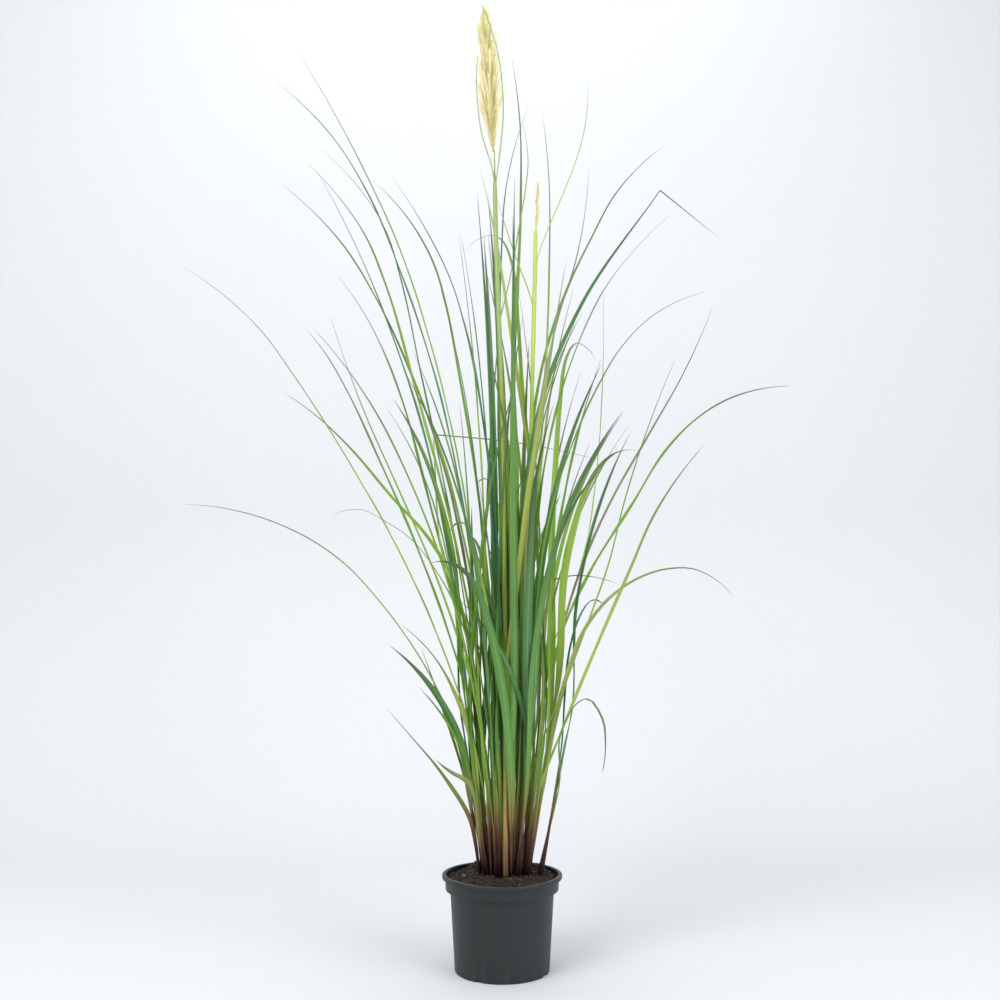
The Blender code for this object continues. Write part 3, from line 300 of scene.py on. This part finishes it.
class Skin:
    """Points, faces and point marks of one piece."""

    MARKS = ("along", "across", "tone", "rise")

    def __init__(self):
        self.points = []
        self.faces = []
        self.marks = []

    def add_loops(self, loops, marks, caps=True):
        """Joins following loops of points. marks holds for each point its (along, across, tone, rise)."""
        base, size = len(self.points), len(loops[0])
        for loop, row in zip(loops, marks):
            self.points += loop
            self.marks += row
        for r in range(len(loops) - 1):
            a = base + r * size
            for j in range(size):
                k = (j + 1) % size
                self.faces.append((a + j, a + k, a + size + k, a + size + j))
        if caps:
            self.faces.append(tuple(reversed(range(base, base + size))))
            last = base + (len(loops) - 1) * size
            self.faces.append(tuple(range(last, last + size)))

    def add_ribbon(self, points, sides, widths, tone, depth):
        """A flat strip along a few points, for fine hairs."""
        base, last = len(self.points), len(points) - 1
        for i, (point, side, width) in enumerate(zip(points, sides, widths)):
            mark = (i / last, depth, tone, 0.0)
            if i == last:
                self.points.append(point)
                self.marks.append(mark)
            else:
                self.points += [point - side * width / 2, point + side * width / 2]
                self.marks += [mark, mark]
        for i in range(last - 1):
            a = base + 2 * i
            self.faces.append((a, a + 1, a + 3, a + 2))
        a = base + 2 * (last - 1)
        self.faces.append((a, a + 1, a + 2))

    def add_mesh(self, points, faces, mark):
        base = len(self.points)
        self.points += points
        self.marks += [mark] * len(points)
        self.faces += [tuple(base + i for i in face) for face in faces]

    def piece(self, name, material, node, smooth=True):
        mesh = bpy.data.meshes.new(name)
        mesh.from_pydata(self.points, [], self.faces)
        marks = np.array(self.marks, np.float32)
        for column, mark in enumerate(self.MARKS):
            attribute = mesh.attributes.new(mark, "FLOAT", "POINT")
            attribute.data.foreach_set("value", marks[:, column].copy())
        return put(name, mesh, material, node, smooth)


def put(name, mesh, material, node, smooth=True):
    """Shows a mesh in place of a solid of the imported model."""
    mesh.materials.append(material)
    mesh.polygons.foreach_set("use_smooth", [smooth] * len(mesh.polygons))
    mesh.update()
    made = bpy.data.objects.new(name, mesh)
    bpy.context.scene.collection.objects.link(made)
    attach(made, "root")
    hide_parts(node)
    return made


# Reading the solids

def welded(node):
    bm = bmesh.new()
    bm.from_mesh(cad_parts[node].data)
    bmesh.ops.remove_doubles(bm, verts=bm.verts, dist=MERGE)
    return bm


def read_section(corners, way):
    """(middle, width direction, width) of a ring of three corners: its keel is across its longest side."""
    a, b, keel = max(((corners[i], corners[i - 2], corners[i - 1]) for i in range(3)),
                     key=lambda corner: (corner[0] - corner[1]).length)
    middle = (a + b) / 2
    side = b - a
    if side.cross(way).dot(keel - middle) < 0:
        side = -side
    return middle, side.normalized(), side.length


def read_leaves(bm):
    """For each leaf of a solid its points, width directions and widths, from root to tip, lowest root first."""
    leaves = []
    for tip in bm.verts:
        ring = {edge.other_vert(tip) for edge in tip.link_edges}
        seen, found = {tip}, []
        while len(ring) == 3:
            found.append([corner.co.copy() for corner in ring])
            seen |= ring
            ring = {edge.other_vert(corner) for corner in ring for edge in corner.link_edges} - seen
        if len(found) < 3 or len(ring) != 4:
            continue
        found.reverse()
        points = [sum((corner.co for corner in ring), Vector()) / 4]
        sides, widths = [], []
        middles = [sum(ring_corners, Vector()) / 3 for ring_corners in found] + [tip.co.copy()]
        for corners, middle, after in zip(found, middles, middles[1:]):
            point, side, width = read_section(corners, after - middle)
            points.append(point)
            sides.append(side)
            widths.append(width)
        points.append(tip.co.copy())
        leaves.append((points, [sides[0]] + sides + [sides[-1]], [widths[0]] + widths + [0.0]))
    return sorted(leaves, key=lambda leaf: (round(leaf[0][0].z, 5), leaf[0][-1].z))


def read_foot(bm):
    """(middle, fan direction) of a shoot's lowest section."""
    lowest = min(corner.co.z for corner in bm.verts)
    corners = [corner.co.copy() for corner in bm.verts if corner.co.z < lowest + 1e-4]
    middle = sum(corners, Vector()) / len(corners)
    far = max(corners, key=lambda corner: (corner - middle).length)
    near = [corner for corner in corners if (corner - far).length < FAN_THICKNESS * 0.6]
    fan = sum(near, Vector()) / len(near) - middle
    fan.z = 0
    return middle, fan.normalized()


# Leaves

def spline(points, step):
    """Points on a smooth line through the given ones, sharp at sharp turns, with the span of each."""
    last = len(points) - 1
    spans = [b - a for a, b in zip(points, points[1:])]
    leaving, arriving = [spans[0].normalized()], [None]
    for before, after in zip(spans, spans[1:]):
        way = (before.normalized() * after.length + after.normalized() * before.length).normalized()
        sharp = before.angle(after) > SHARP_TURN
        arriving.append(before.normalized() if sharp else way)
        leaving.append(after.normalized() if sharp else way)
    arriving.append((spans[-1].normalized() * 2 - leaving[-1]).normalized() if last > 1 else leaving[0])
    line = [(points[0], 0.0)]
    for i, span in enumerate(spans):
        count = max(2, math.ceil(span.length / step))
        for k in range(1, count + 1):
            u = k / count
            point = (points[i] * (2 * u ** 3 - 3 * u ** 2 + 1)
                     + leaving[i] * span.length * (u ** 3 - 2 * u ** 2 + u)
                     + points[i + 1] * (3 * u ** 2 - 2 * u ** 3)
                     + arriving[i + 1] * span.length * (u ** 3 - u ** 2))
            line.append((point, i + u))
    return line


def between(values, where):
    i = min(int(where), len(values) - 2)
    return values[i] + (values[i + 1] - values[i]) * (where - i)


def blade_loop(point, side, way, width, thickness, wave):
    """Closed section of a blade: its folded upper side from left to right, then its underside back."""
    down = side.cross(way).normalized()
    half = width / 2
    upper, lower = [], []
    for j in range(-COLUMNS, COLUMNS + 1):
        u = j / COLUMNS
        fold = KEEL_DEPTH * width * (1 - abs(u) ** 1.15) + wave * abs(u) ** 3 * (1 if u > 0 else -1)
        rib = thickness * (0.35 + 0.65 * (1 - abs(u)) + 0.9 * max(1 - abs(u) * 5, 0))
        upper.append(point + side * half * u + down * (fold - thickness * 0.5))
        lower.append(point + side * half * u + down * (fold - thickness * 0.5 + rib))
    return upper + lower[::-1]


def sheath_loop(middle, side, out, half_side, half_out):
    """Closed oval section of a sheath, with its points in the order of a blade's section."""
    count = 2 * COLUMNS + 1
    inner = [math.pi + math.pi * j / (count - 1) for j in range(count)]
    outer = [math.pi * j / (count - 1) for j in range(count)]
    return [middle + side * half_side * math.cos(a) + out * half_out * math.sin(a) for a in inner + outer]


def eased(value):
    value = min(max(value, 0.0), 1.0)
    return value * value * (3 - 2 * value)


def loop_marks(along, tone, rise):
    row = [j / COLUMNS for j in range(-COLUMNS, COLUMNS + 1)]
    return [(along, across, tone, rise) for across in row + row[::-1]]


def add_leaf(skin, leaf, foot, tone, draw, sheath_half):
    """A leaf with its sheath, whose foot is where it stands in the soil, if it has one."""
    points, sides, widths = leaf
    line = spline(points, BLADE_STEP)
    root = points[0]
    out = sides[0].cross(UP).normalized()
    loops, marks = [], []
    if foot is not None:
        rows = max(2, math.ceil((root - foot).length / SHEATH_STEP))
        path = [(foot.lerp(root, k / rows), 0.0) for k in range(rows)]
    else:
        path = []
    path += line
    total = len(line) - 1
    phase, beat = draw.uniform(0, 6.3), draw.uniform(22, 40)
    lift = draw.uniform(0.0, 0.10)
    for i, (point, where) in enumerate(path):
        after = path[min(i + 1, len(path) - 1)][0]
        before = path[max(i - 1, 0)][0]
        way = (after - before).normalized()
        side = between(sides, where)
        side = (side - way * side.dot(way)).normalized()
        travelled = (point - root).length * (1 if i >= len(path) - len(line) else -1)
        open_share = eased((travelled + COLLAR_BELOW) / (COLLAR_BELOW + COLLAR_ABOVE))
        along = (i - (len(path) - len(line))) / total if travelled > 0 else 0.0
        width = max(between(widths, where), STRAND_WIDTH * (1 - eased((along - 0.95) / 0.05)))
        wave = width * lift * math.sin(phase + travelled * beat) * open_share
        blade = blade_loop(point, side, way, width, BLADE_THICKNESS * (1 - 0.6 * along), wave)
        if open_share < 1:
            slim = 1 - 0.35 * eased((travelled + 0.06) / 0.09)
            oval = sheath_loop(point, side, side.cross(way), sheath_half[0] * slim, sheath_half[1] * slim)
            blade = [a.lerp(b, open_share) for a, b in zip(oval, blade)]
        loops.append(blade)
        marks.append(loop_marks(along, tone, point.z - CROWN_LEVEL))
    skin.add_loops(loops, marks)


def add_dry_strip(skin, foot, out, draw):
    """A short papery strip of an old sheath that curls away from a shoot's foot."""
    length, width = draw.uniform(0.014, 0.05), draw.uniform(0.0012, 0.0034)
    curl = draw.uniform(0.3, 1.3)
    side = out.cross(UP)
    loops, marks = [], []
    for k in range(7):
        u = k / 6
        turn = curl * u ** 1.5
        point = foot + out * (0.0035 + length * 0.6 * math.sin(turn) * u) + UP * length * u * math.cos(turn * 0.6)
        half = width * (1 - 0.85 * u ** 2) / 2
        thick = out * 0.0002
        loops.append([point - side * half, point + side * half, point + side * half + thick, point - side * half + thick])
        marks.append([(0.0, 0.3, 0.99, 0.045 + 0.01 * u)] * 4)
    skin.add_loops(loops, marks)


def make_shoot(number, node, material):
    draw = random.Random(SEED * 1000 + number)
    bm = welded(node)
    leaves = read_leaves(bm)
    foot, fan = read_foot(bm)
    bm.free()
    count = len(leaves)
    if (leaves[0][0][0] - foot).dot(fan) < (leaves[-1][0][0] - foot).dot(fan) and count > 1:
        fan = -fan
    offsets = {1: (0.0,), 2: (0.25, -0.25), 3: (1 / 3, -1 / 3, 0.0)}[count]
    skin = Skin()
    base_tone = draw.choice(SHOOT_TONES)
    for leaf, offset in zip(leaves, offsets):
        stand = foot + fan * FAN_LENGTH * offset
        along_fan = FAN_LENGTH / count * 0.60
        tone = min(max(base_tone + draw.uniform(-0.2, 0.2), 0.02), 0.98)
        add_leaf(skin, leaf, stand, tone, draw, (FAN_THICKNESS * 0.5, along_fan))
    return skin.piece(f"leaves_{number:02d}", material, node)


# Flower stems

def read_stem(bm, leaves):
    """Middle points and radii of a flower stem, from its rings of six corners."""
    own = {}
    for corner in bm.verts:
        own.setdefault(round(corner.co.z, 4), []).append(corner.co.copy())
    rings = []
    for height in sorted(own):
        corners = own[height]
        if len(corners) == 6:
            middle = sum(corners, Vector()) / 6
            rings.append((middle, max((c - middle).length for c in corners)))
    return rings


def tall_swell(height):
    """How much thicker than its solid the tall stem is: a swollen sheath below a bare thin end."""
    return 1 + 0.8 * eased((height - 0.9) / 0.5) - 1.25 * eased((height - 1.49) / 0.05)


def young_swell(height):
    return 1 + 0.5 * eased((height - 0.9) / 0.4)


def make_stem(node, material, joints, swell, draw):
    bm = welded(node)
    leaves = read_leaves(bm)
    rings = read_stem(bm, leaves)
    bm.free()
    skin = Skin()
    sides = 20
    heights = np.linspace(rings[0][0].z, rings[-1][0].z, 150)
    loops, marks = [], []
    ring_heights = [ring[0].z for ring in rings]
    for height in heights:
        i = max(k for k, z in enumerate(ring_heights[:-1]) if z <= height)
        u = (height - ring_heights[i]) / (ring_heights[i + 1] - ring_heights[i])
        middle = rings[i][0].lerp(rings[i + 1][0], u)
        radius = (rings[i][1] + (rings[i + 1][1] - rings[i][1]) * u) * 0.93
        radius *= swell(height)
        nearest = min(abs(height - joint) for joint in joints)
        radius += 0.0007 * math.exp(-(nearest / 0.006) ** 2)
        loop, row = [], []
        for j in range(sides):
            turn = math.tau * j / sides
            ridge = 1 + 0.02 * math.cos(turn * 9 + 1.0)
            loop.append(middle + Vector((math.cos(turn), math.sin(turn), 0)) * radius * ridge)
            row.append((0.0, abs(2 * j / sides - 1), 0.5, height - CROWN_LEVEL))
        loops.append(loop)
        marks.append(row)
    skin.add_loops(loops, marks)
    for leaf in leaves:
        tone = draw.uniform(0.45, 0.75)
        collar = leaf[0][0]
        if collar.z > FLAG_LEVEL:
            leaf = (leaf[0], leaf[1], [width * FLAG_SHARE for width in leaf[2]])
            tone = 0.1
        foot = collar - UP * 0.05
        axis = min((ring[0] for ring in rings), key=lambda middle: abs(middle.z - foot.z))
        add_leaf(skin, leaf, Vector((foot.x, foot.y, foot.z)) - (foot - Vector((axis.x, axis.y, foot.z))) * 0.35,
                 tone, draw, (0.0032, 0.0026))
    return skin.piece(node.replace("flower_", ""), material, node)


# Plumes

def read_plume(node):
    """Foot, tip, and reach from their axis at each level, of a plume's solid."""
    bm = welded(node)
    points = [corner.co.copy() for corner in bm.verts]
    bm.free()
    foot_level = min(point.z for point in points)
    tip = max(points, key=lambda point: point.z)
    feet = [point for point in points if point.z < foot_level + 1e-4]
    foot = sum(feet, Vector()) / len(feet)
    way = (tip - foot).normalized()
    reach = [0.0] * (PLUME_LEVELS + 1)
    for point in points:
        up = (point - foot).dot(way)
        level = round(min(max(up / (tip - foot).length, 0), 1) * PLUME_LEVELS)
        for near in range(max(level - 1, 0), min(level + 1, PLUME_LEVELS) + 1):
            reach[near] = max(reach[near], (point - foot - way * up).length)
    return foot, tip, reach


def make_plume(node, name, material, branches, hairs, hair_length, spread, draw):
    """A plume of ascending branches, each covered in fine silky hairs, inside the form of its solid."""
    foot, tip, reach = read_plume(node)
    axis = tip - foot
    way = axis.normalized()
    first = way.orthogonal().normalized()
    second = way.cross(first)
    widest = max(reach)
    skin = Skin()
    loops, marks = [], []
    for k in range(30):
        share = k / 29
        size = 0.0021 * (1 - share) + 0.0003
        loops.append([foot + axis * share * 0.97 + (first * math.cos(a) + second * math.sin(a)) * size
                      for a in (math.tau * j / 6 for j in range(6))])
        marks.append([(0.0, 0.0, 0.0, 0.0)] * 6)
    skin.add_loops(loops, marks)
    for branch in range(branches):
        start = 0.80 * (branch + 0.5) / branches
        turn = branch * math.radians(137.508) + draw.uniform(-0.3, 0.3)
        out = first * math.cos(turn) + second * math.sin(turn)
        end = start + draw.uniform(0.24, 0.38) * (1 - 0.35 * start)
        end = min(end, draw.uniform(0.93, 0.99))
        wide = between(reach, end * PLUME_LEVELS) * draw.choice((0.35, 0.6, 0.85, 1.0)) * (1 - eased((end - 0.8) / 0.25))
        bow = draw.uniform(0.8, 1.3)
        bend = []
        for k in range(9):
            u = k / 8
            sway = second * math.sin(u * 5 + branch) * 0.0012
            bend.append(foot + axis * (start + (end - start) * u) + out * wide * u ** bow + sway)
        branch_tone = draw.random()
        for hair in range(hairs):
            u = (hair + draw.random()) / hairs
            where = min(u * 8, 7.999)
            root = between(bend, where)
            along = (bend[int(where) + 1] - bend[int(where)]).normalized()
            around = Vector((draw.gauss(0, 1), draw.gauss(0, 1), draw.gauss(0, 1)))
            around = (around - along * around.dot(along)).normalized()
            aim = (along + around * spread * draw.uniform(0.25, 1.0)).normalized()
            size = hair_length * draw.uniform(0.6, 1.25) * (1 - 0.3 * u)
            middle = root + aim * size * 0.5
            far = middle + (aim + way * 0.45).normalized() * size * 0.5
            side = aim.cross(around).normalized()
            width = draw.uniform(0.00035, 0.0006)
            radial = (far - foot - way * (far - foot).dot(way)).length
            tone = min(max(branch_tone + draw.uniform(-0.3, 0.3), 0), 1)
            skin.add_ribbon([root, middle, far], [side] * 3, [width, width, 0], tone, min(radial / widest, 1.0))
    return skin.piece(name, material, node)


# Pot

def pot_profile():
    """(radius, height) of the pot's outside from the foot up and then down its inside."""
    collar_foot = POT_HEIGHT - LIP_HEIGHT - COLLAR_HEIGHT
    lip_foot = POT_HEIGHT - LIP_HEIGHT
    step = COLLAR_FOOT_RADIUS
    corners = [
        (0.0, 0.0, 0), (BASE_RADIUS, 0, EDGE * 1.6), (WALL_TOP_RADIUS, collar_foot, 0.0008),
        (step, collar_foot, 0.0011), (COLLAR_TOP_RADIUS, lip_foot, 0.0012),
        (RIM_RADIUS, lip_foot, EDGE * 1.2), (RIM_RADIUS, POT_HEIGHT, EDGE * 1.8),
        (COLLAR_TOP_RADIUS - WALL, POT_HEIGHT, 0.0008), (step - WALL, collar_foot + WALL, 0.0006),
        (WALL_TOP_RADIUS - WALL, collar_foot + WALL, 0.0006), (BASE_RADIUS - WALL, FLOOR, 0.001), (0.0, FLOOR, 0),
    ]
    profile = []
    for i, (radius, height, rounding) in enumerate(corners):
        here = Vector((radius, height))
        if not rounding:
            profile.append((radius, height))
            continue
        before = Vector(corners[i - 1][:2]) - here
        after = Vector(corners[i + 1][:2]) - here
        start = here + before.normalized() * min(rounding, before.length * 0.45)
        end = here + after.normalized() * min(rounding, after.length * 0.45)
        for k in range(5):
            u = k / 4
            point = start * (1 - u) ** 2 + here * 2 * u * (1 - u) + end * u ** 2
            profile.append((point.x, point.y))
    return profile


def make_pot(material):
    bm = bmesh.new()
    profile = []
    for a, b in zip(pot_profile(), pot_profile()[1:]):
        steps = max(1, math.ceil(math.dist(a, b) / 0.016))
        profile += [tuple(np.array(a) + (np.array(b) - np.array(a)) * k / steps) for k in range(steps)]
    rings = []
    for radius, height in profile:
        if radius < 1e-6:
            rings.append([bm.verts.new((0, 0, height))])
            continue
        ring = []
        for j in range(POT_SIDES):
            turn = math.tau * j / POT_SIDES
            ring.append(bm.verts.new((radius * math.cos(turn), radius * math.sin(turn), height)))
        rings.append(ring)
    rings.append([bm.verts.new((0, 0, FLOOR))])
    for lower, upper in zip(rings, rings[1:]):
        for j in range(POT_SIDES):
            k = (j + 1) % POT_SIDES
            if len(lower) == 1:
                bm.faces.new((lower[0], upper[k], upper[j]))
            elif len(upper) == 1:
                bm.faces.new((lower[j], lower[k], upper[0]))
            else:
                bm.faces.new((lower[j], lower[k], upper[k], upper[j]))
    bmesh.ops.recalc_face_normals(bm, faces=bm.faces)
    mesh = bpy.data.meshes.new("nursery_pot")
    bm.to_mesh(mesh)
    bm.free()
    made = put("nursery_pot", mesh, material, "pot")
    cutters = []
    for index in range(DRAIN_COUNT):
        turn = DRAIN_TURN + index * math.tau / DRAIN_COUNT
        block = bmesh.new()
        bmesh.ops.create_cube(block, size=1)
        bmesh.ops.scale(block, vec=(DRAIN_DEPTH, DRAIN_WIDTH, 2 * DRAIN_HEIGHT), verts=block.verts)
        bmesh.ops.bevel(block, geom=block.edges[:], offset=0.0012, segments=3, affect="EDGES")
        block_mesh = bpy.data.meshes.new("drain")
        block.to_mesh(block_mesh)
        block.free()
        cutter = bpy.data.objects.new("drain", block_mesh)
        cutter.location = (BASE_RADIUS * math.cos(turn), BASE_RADIUS * math.sin(turn), 0)
        cutter.rotation_euler.z = turn
        bpy.context.scene.collection.objects.link(cutter)
        notch = made.modifiers.new("drain", "BOOLEAN")
        notch.object = cutter
        notch.solver = "EXACT"
        cutters.append(cutter)
    bpy.context.view_layer.update()
    cut = bpy.data.meshes.new_from_object(made.evaluated_get(bpy.context.evaluated_depsgraph_get()))
    made.modifiers.clear()
    made.data = cut
    for cutter in cutters:
        bpy.data.objects.remove(cutter)
    cut.shade_smooth()
    cut.set_sharp_from_angle(angle=math.radians(50))
    return made


# Potting mix

def soil_level(x, y):
    """Height of the potting mix: a flat crown, a slope to the wall, a mound at the back left and lumps."""
    reach = math.hypot(x, y)
    fall = min(max((reach - 0.058) / (SOIL_RADIUS - 0.058), 0), 1)
    level = CROWN_LEVEL - (CROWN_LEVEL - SOIL_EDGE_LEVEL) * fall
    place = Vector((x, y, 0.3))
    level += 0.0022 * noise.fractal(place * 60, 1.0, 2.0, 3)
    level += 0.0011 * noise.fractal(place * 260, 0.8, 2.0, 3)
    share = min(max((reach - CROWN_PLATE_RADIUS) / (SOIL_RADIUS - CROWN_PLATE_RADIUS), 0), 1)
    heap = sum(math.exp(-(math.dist((x, y), middle) / HEAP_RADIUS) ** 2) for middle in HEAPS)
    return level + HEAP_HEIGHT * heap * 4 * share * (1 - share)


def chunk(points, size, stretch, draw):
    """A lump with its own rough form."""
    shift = Vector((draw.uniform(-9, 9), draw.uniform(-9, 9), draw.uniform(-9, 9)))
    turn = draw.uniform(0, math.tau)
    tilt = draw.uniform(-0.8, 0.8)
    cos, sin = math.cos(turn), math.sin(turn)
    made = []
    for point in points:
        rough = 1 + 0.55 * noise.noise(point * 1.7 + shift)
        x, y, z = point.x * stretch[0] * rough, point.y * stretch[1] * rough, point.z * stretch[2] * rough
        y, z = y * math.cos(tilt) - z * math.sin(tilt), y * math.sin(tilt) + z * math.cos(tilt)
        made.append(Vector((x * cos - y * sin, x * sin + y * cos, z)) * size)
    return made


def make_soil(material):
    draw = random.Random(SEED)
    skin = Skin()
    wall_slope = (WALL_TOP_RADIUS - BASE_RADIUS) / 0.144
    low = [(BASE_RADIUS - WALL - 0.0006 + wall_slope * z, z) for z in (0.0026, 0.05, 0.10, 0.143)]
    low.append((WALL_TOP_RADIUS - WALL - 0.0006, 0.1455))
    low.append((SOIL_RADIUS - 0.0008, 0.158))
    sides, rows = 180, 46
    loops, marks = [], []
    for radius, height in low:
        loops.append([Vector((radius * math.cos(math.tau * j / sides), radius * math.sin(math.tau * j / sides), height))
                      for j in range(sides)])
        marks.append([(0, 0, 0.3, 0)] * sides)
    for k in range(rows):
        radius = SOIL_RADIUS * (1 - k / rows) + 0.0004
        loop, row = [], []
        for j in range(sides):
            x, y = radius * math.cos(math.tau * j / sides), radius * math.sin(math.tau * j / sides)
            loop.append(Vector((x, y, soil_level(x, y))))
            row.append((0, 0, 0.15 + 0.35 * abs(noise.noise(Vector((x, y, 0)) * 150)), 0))
        loops.append(loop)
        marks.append(row)
    skin.add_loops(loops, marks)
    ball = bmesh.new()
    bmesh.ops.create_icosphere(ball, subdivisions=1, radius=1)
    ball.verts.ensure_lookup_table()
    points = [corner.co.copy() for corner in ball.verts]
    faces = [tuple(corner.index for corner in face.verts) for face in ball.faces]
    ball.free()
    for number in range(CRUMBS + CHIPS):
        chip = number >= CRUMBS
        reach = (SOIL_RADIUS - 0.003) * math.sqrt(draw.uniform(0.02, 1))
        turn = draw.uniform(0, math.tau)
        x, y = reach * math.cos(turn), reach * math.sin(turn)
        if chip:
            size, stretch = draw.uniform(0.0016, 0.0042), (1.6, draw.uniform(0.35, 0.6), draw.uniform(0.15, 0.3))
            tone = draw.choice((0.3, 0.5, 0.7, 0.8, 0.9, 0.95))
            if draw.random() < 0.06:
                tone, size = 0.985, size * 0.7
        else:
            size, stretch = draw.uniform(0.0009, 0.0030) * (0.6 + 0.8 * draw.random()), (1, 0.85, 0.75)
            tone = draw.uniform(0.05, 0.7)
        lump = chunk(points, size, stretch, draw)
        place = Vector((x, y, soil_level(x, y) + size * (0.45 if chip else 0.3)))
        skin.add_mesh([point + place for point in lump], faces, (0, 0, tone, 0))
    return skin.piece("bark_compost", material, "potting_soil")


# Studio

def make_stage():
    """A pale floor that curves up into the backdrop."""
    profile = [(-6.0, 0.0), (-2.0, 0.0), (0.0, 0.0), (0.9, 0.0)]
    for k in range(1, 17):
        a = math.pi / 2 * k / 16
        profile.append((0.9 + 1.1 * math.sin(a), 1.1 * (1 - math.cos(a))))
    profile += [(2.0, 3.0), (2.0, 7.0)]
    mesh = bpy.data.meshes.new("studio_sweep")
    points, faces = [], []
    for y, z in profile:
        points += [(-7, y, z), (7, y, z)]
    for i in range(len(profile) - 1):
        a = 2 * i
        faces.append((a, a + 1, a + 3, a + 2))
    mesh.from_pydata(points, [], faces)
    mesh.materials.append(plain_material("pale_floor", "cdcfd2", 0.8))
    mesh.shade_smooth()
    made = bpy.data.objects.new("studio_sweep", mesh)
    bpy.context.scene.collection.objects.link(made)


def area_light(name, place, target, size, energy, colour):
    light = bpy.data.lights.new(name, "AREA")
    light.shape = "SQUARE"
    light.size = size
    light.energy = energy
    light.color = colour
    made = bpy.data.objects.new(name, light)
    made.location = place
    made.rotation_euler = (Vector(target) - Vector(place)).to_track_quat("-Z", "Y").to_euler()
    bpy.context.scene.collection.objects.link(made)


def make_studio():
    world = bpy.data.worlds.new("studio")
    bpy.context.scene.world = world
    world.use_nodes = True
    world.node_tree.nodes["Background"].inputs[0].default_value = (0.97, 0.985, 1.0, 1)
    world.node_tree.nodes["Background"].inputs[1].default_value = 0.72
    area_light("key", (-2.2, -2.6, 3.2), (0, 0, 0.8), 2.4, 130, (1, 0.99, 0.97))
    area_light("fill", (2.6, -2.2, 1.8), (0, 0, 0.8), 2.4, 70, (0.99, 0.99, 1))
    area_light("top", (0, 0.3, 4.2), (0, 0.2, 0), 3.0, 50, (1, 1, 1))
    bpy.context.scene.view_settings.view_transform = "Standard"
    camera = bpy.data.cameras.new("camera")
    camera.sensor_width = 36
    camera.lens = 38.41
    made = bpy.data.objects.new("camera", camera)
    made.location = (-0.004, -2.073, 0.622)
    made.rotation_euler = (math.radians(97.05), 0, 0)
    bpy.context.scene.collection.objects.link(made)
    bpy.context.scene.camera = made


def main():
    nodes = sorted(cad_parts)
    leaf = leaf_material()
    for number, node in enumerate([name for name in nodes if name.startswith("shoot_")], 1):
        make_shoot(number, node, leaf)
    make_stem("flower_stem_tall", stem_material("tall_cane", "a5ad4c", "93ad68", "7f9a52"),
              (0.62, 0.98, 1.30, 1.51), tall_swell,
              random.Random(SEED + 1))
    make_stem("flower_stem_young", stem_material("young_cane", "9db548", "bccd62", "9fb24a"),
              (0.55, 0.92, 1.20, 1.36), young_swell, random.Random(SEED + 2))
    make_plume("plume_tall", "silky_plume", plume_material("plume_cream", "e9e39c", "fbf6dc"), 190, 240, 0.014, 0.6,
               random.Random(SEED + 3))
    make_plume("plume_young", "silky_plume_young", plume_material("plume_pale", "ece8bc", "fbf8e6"), 36, 80, 0.010,
               0.22, random.Random(SEED + 4))
    make_pot(pot_material())
    make_soil(soil_material())
    make_stage()
    make_studio()


main()
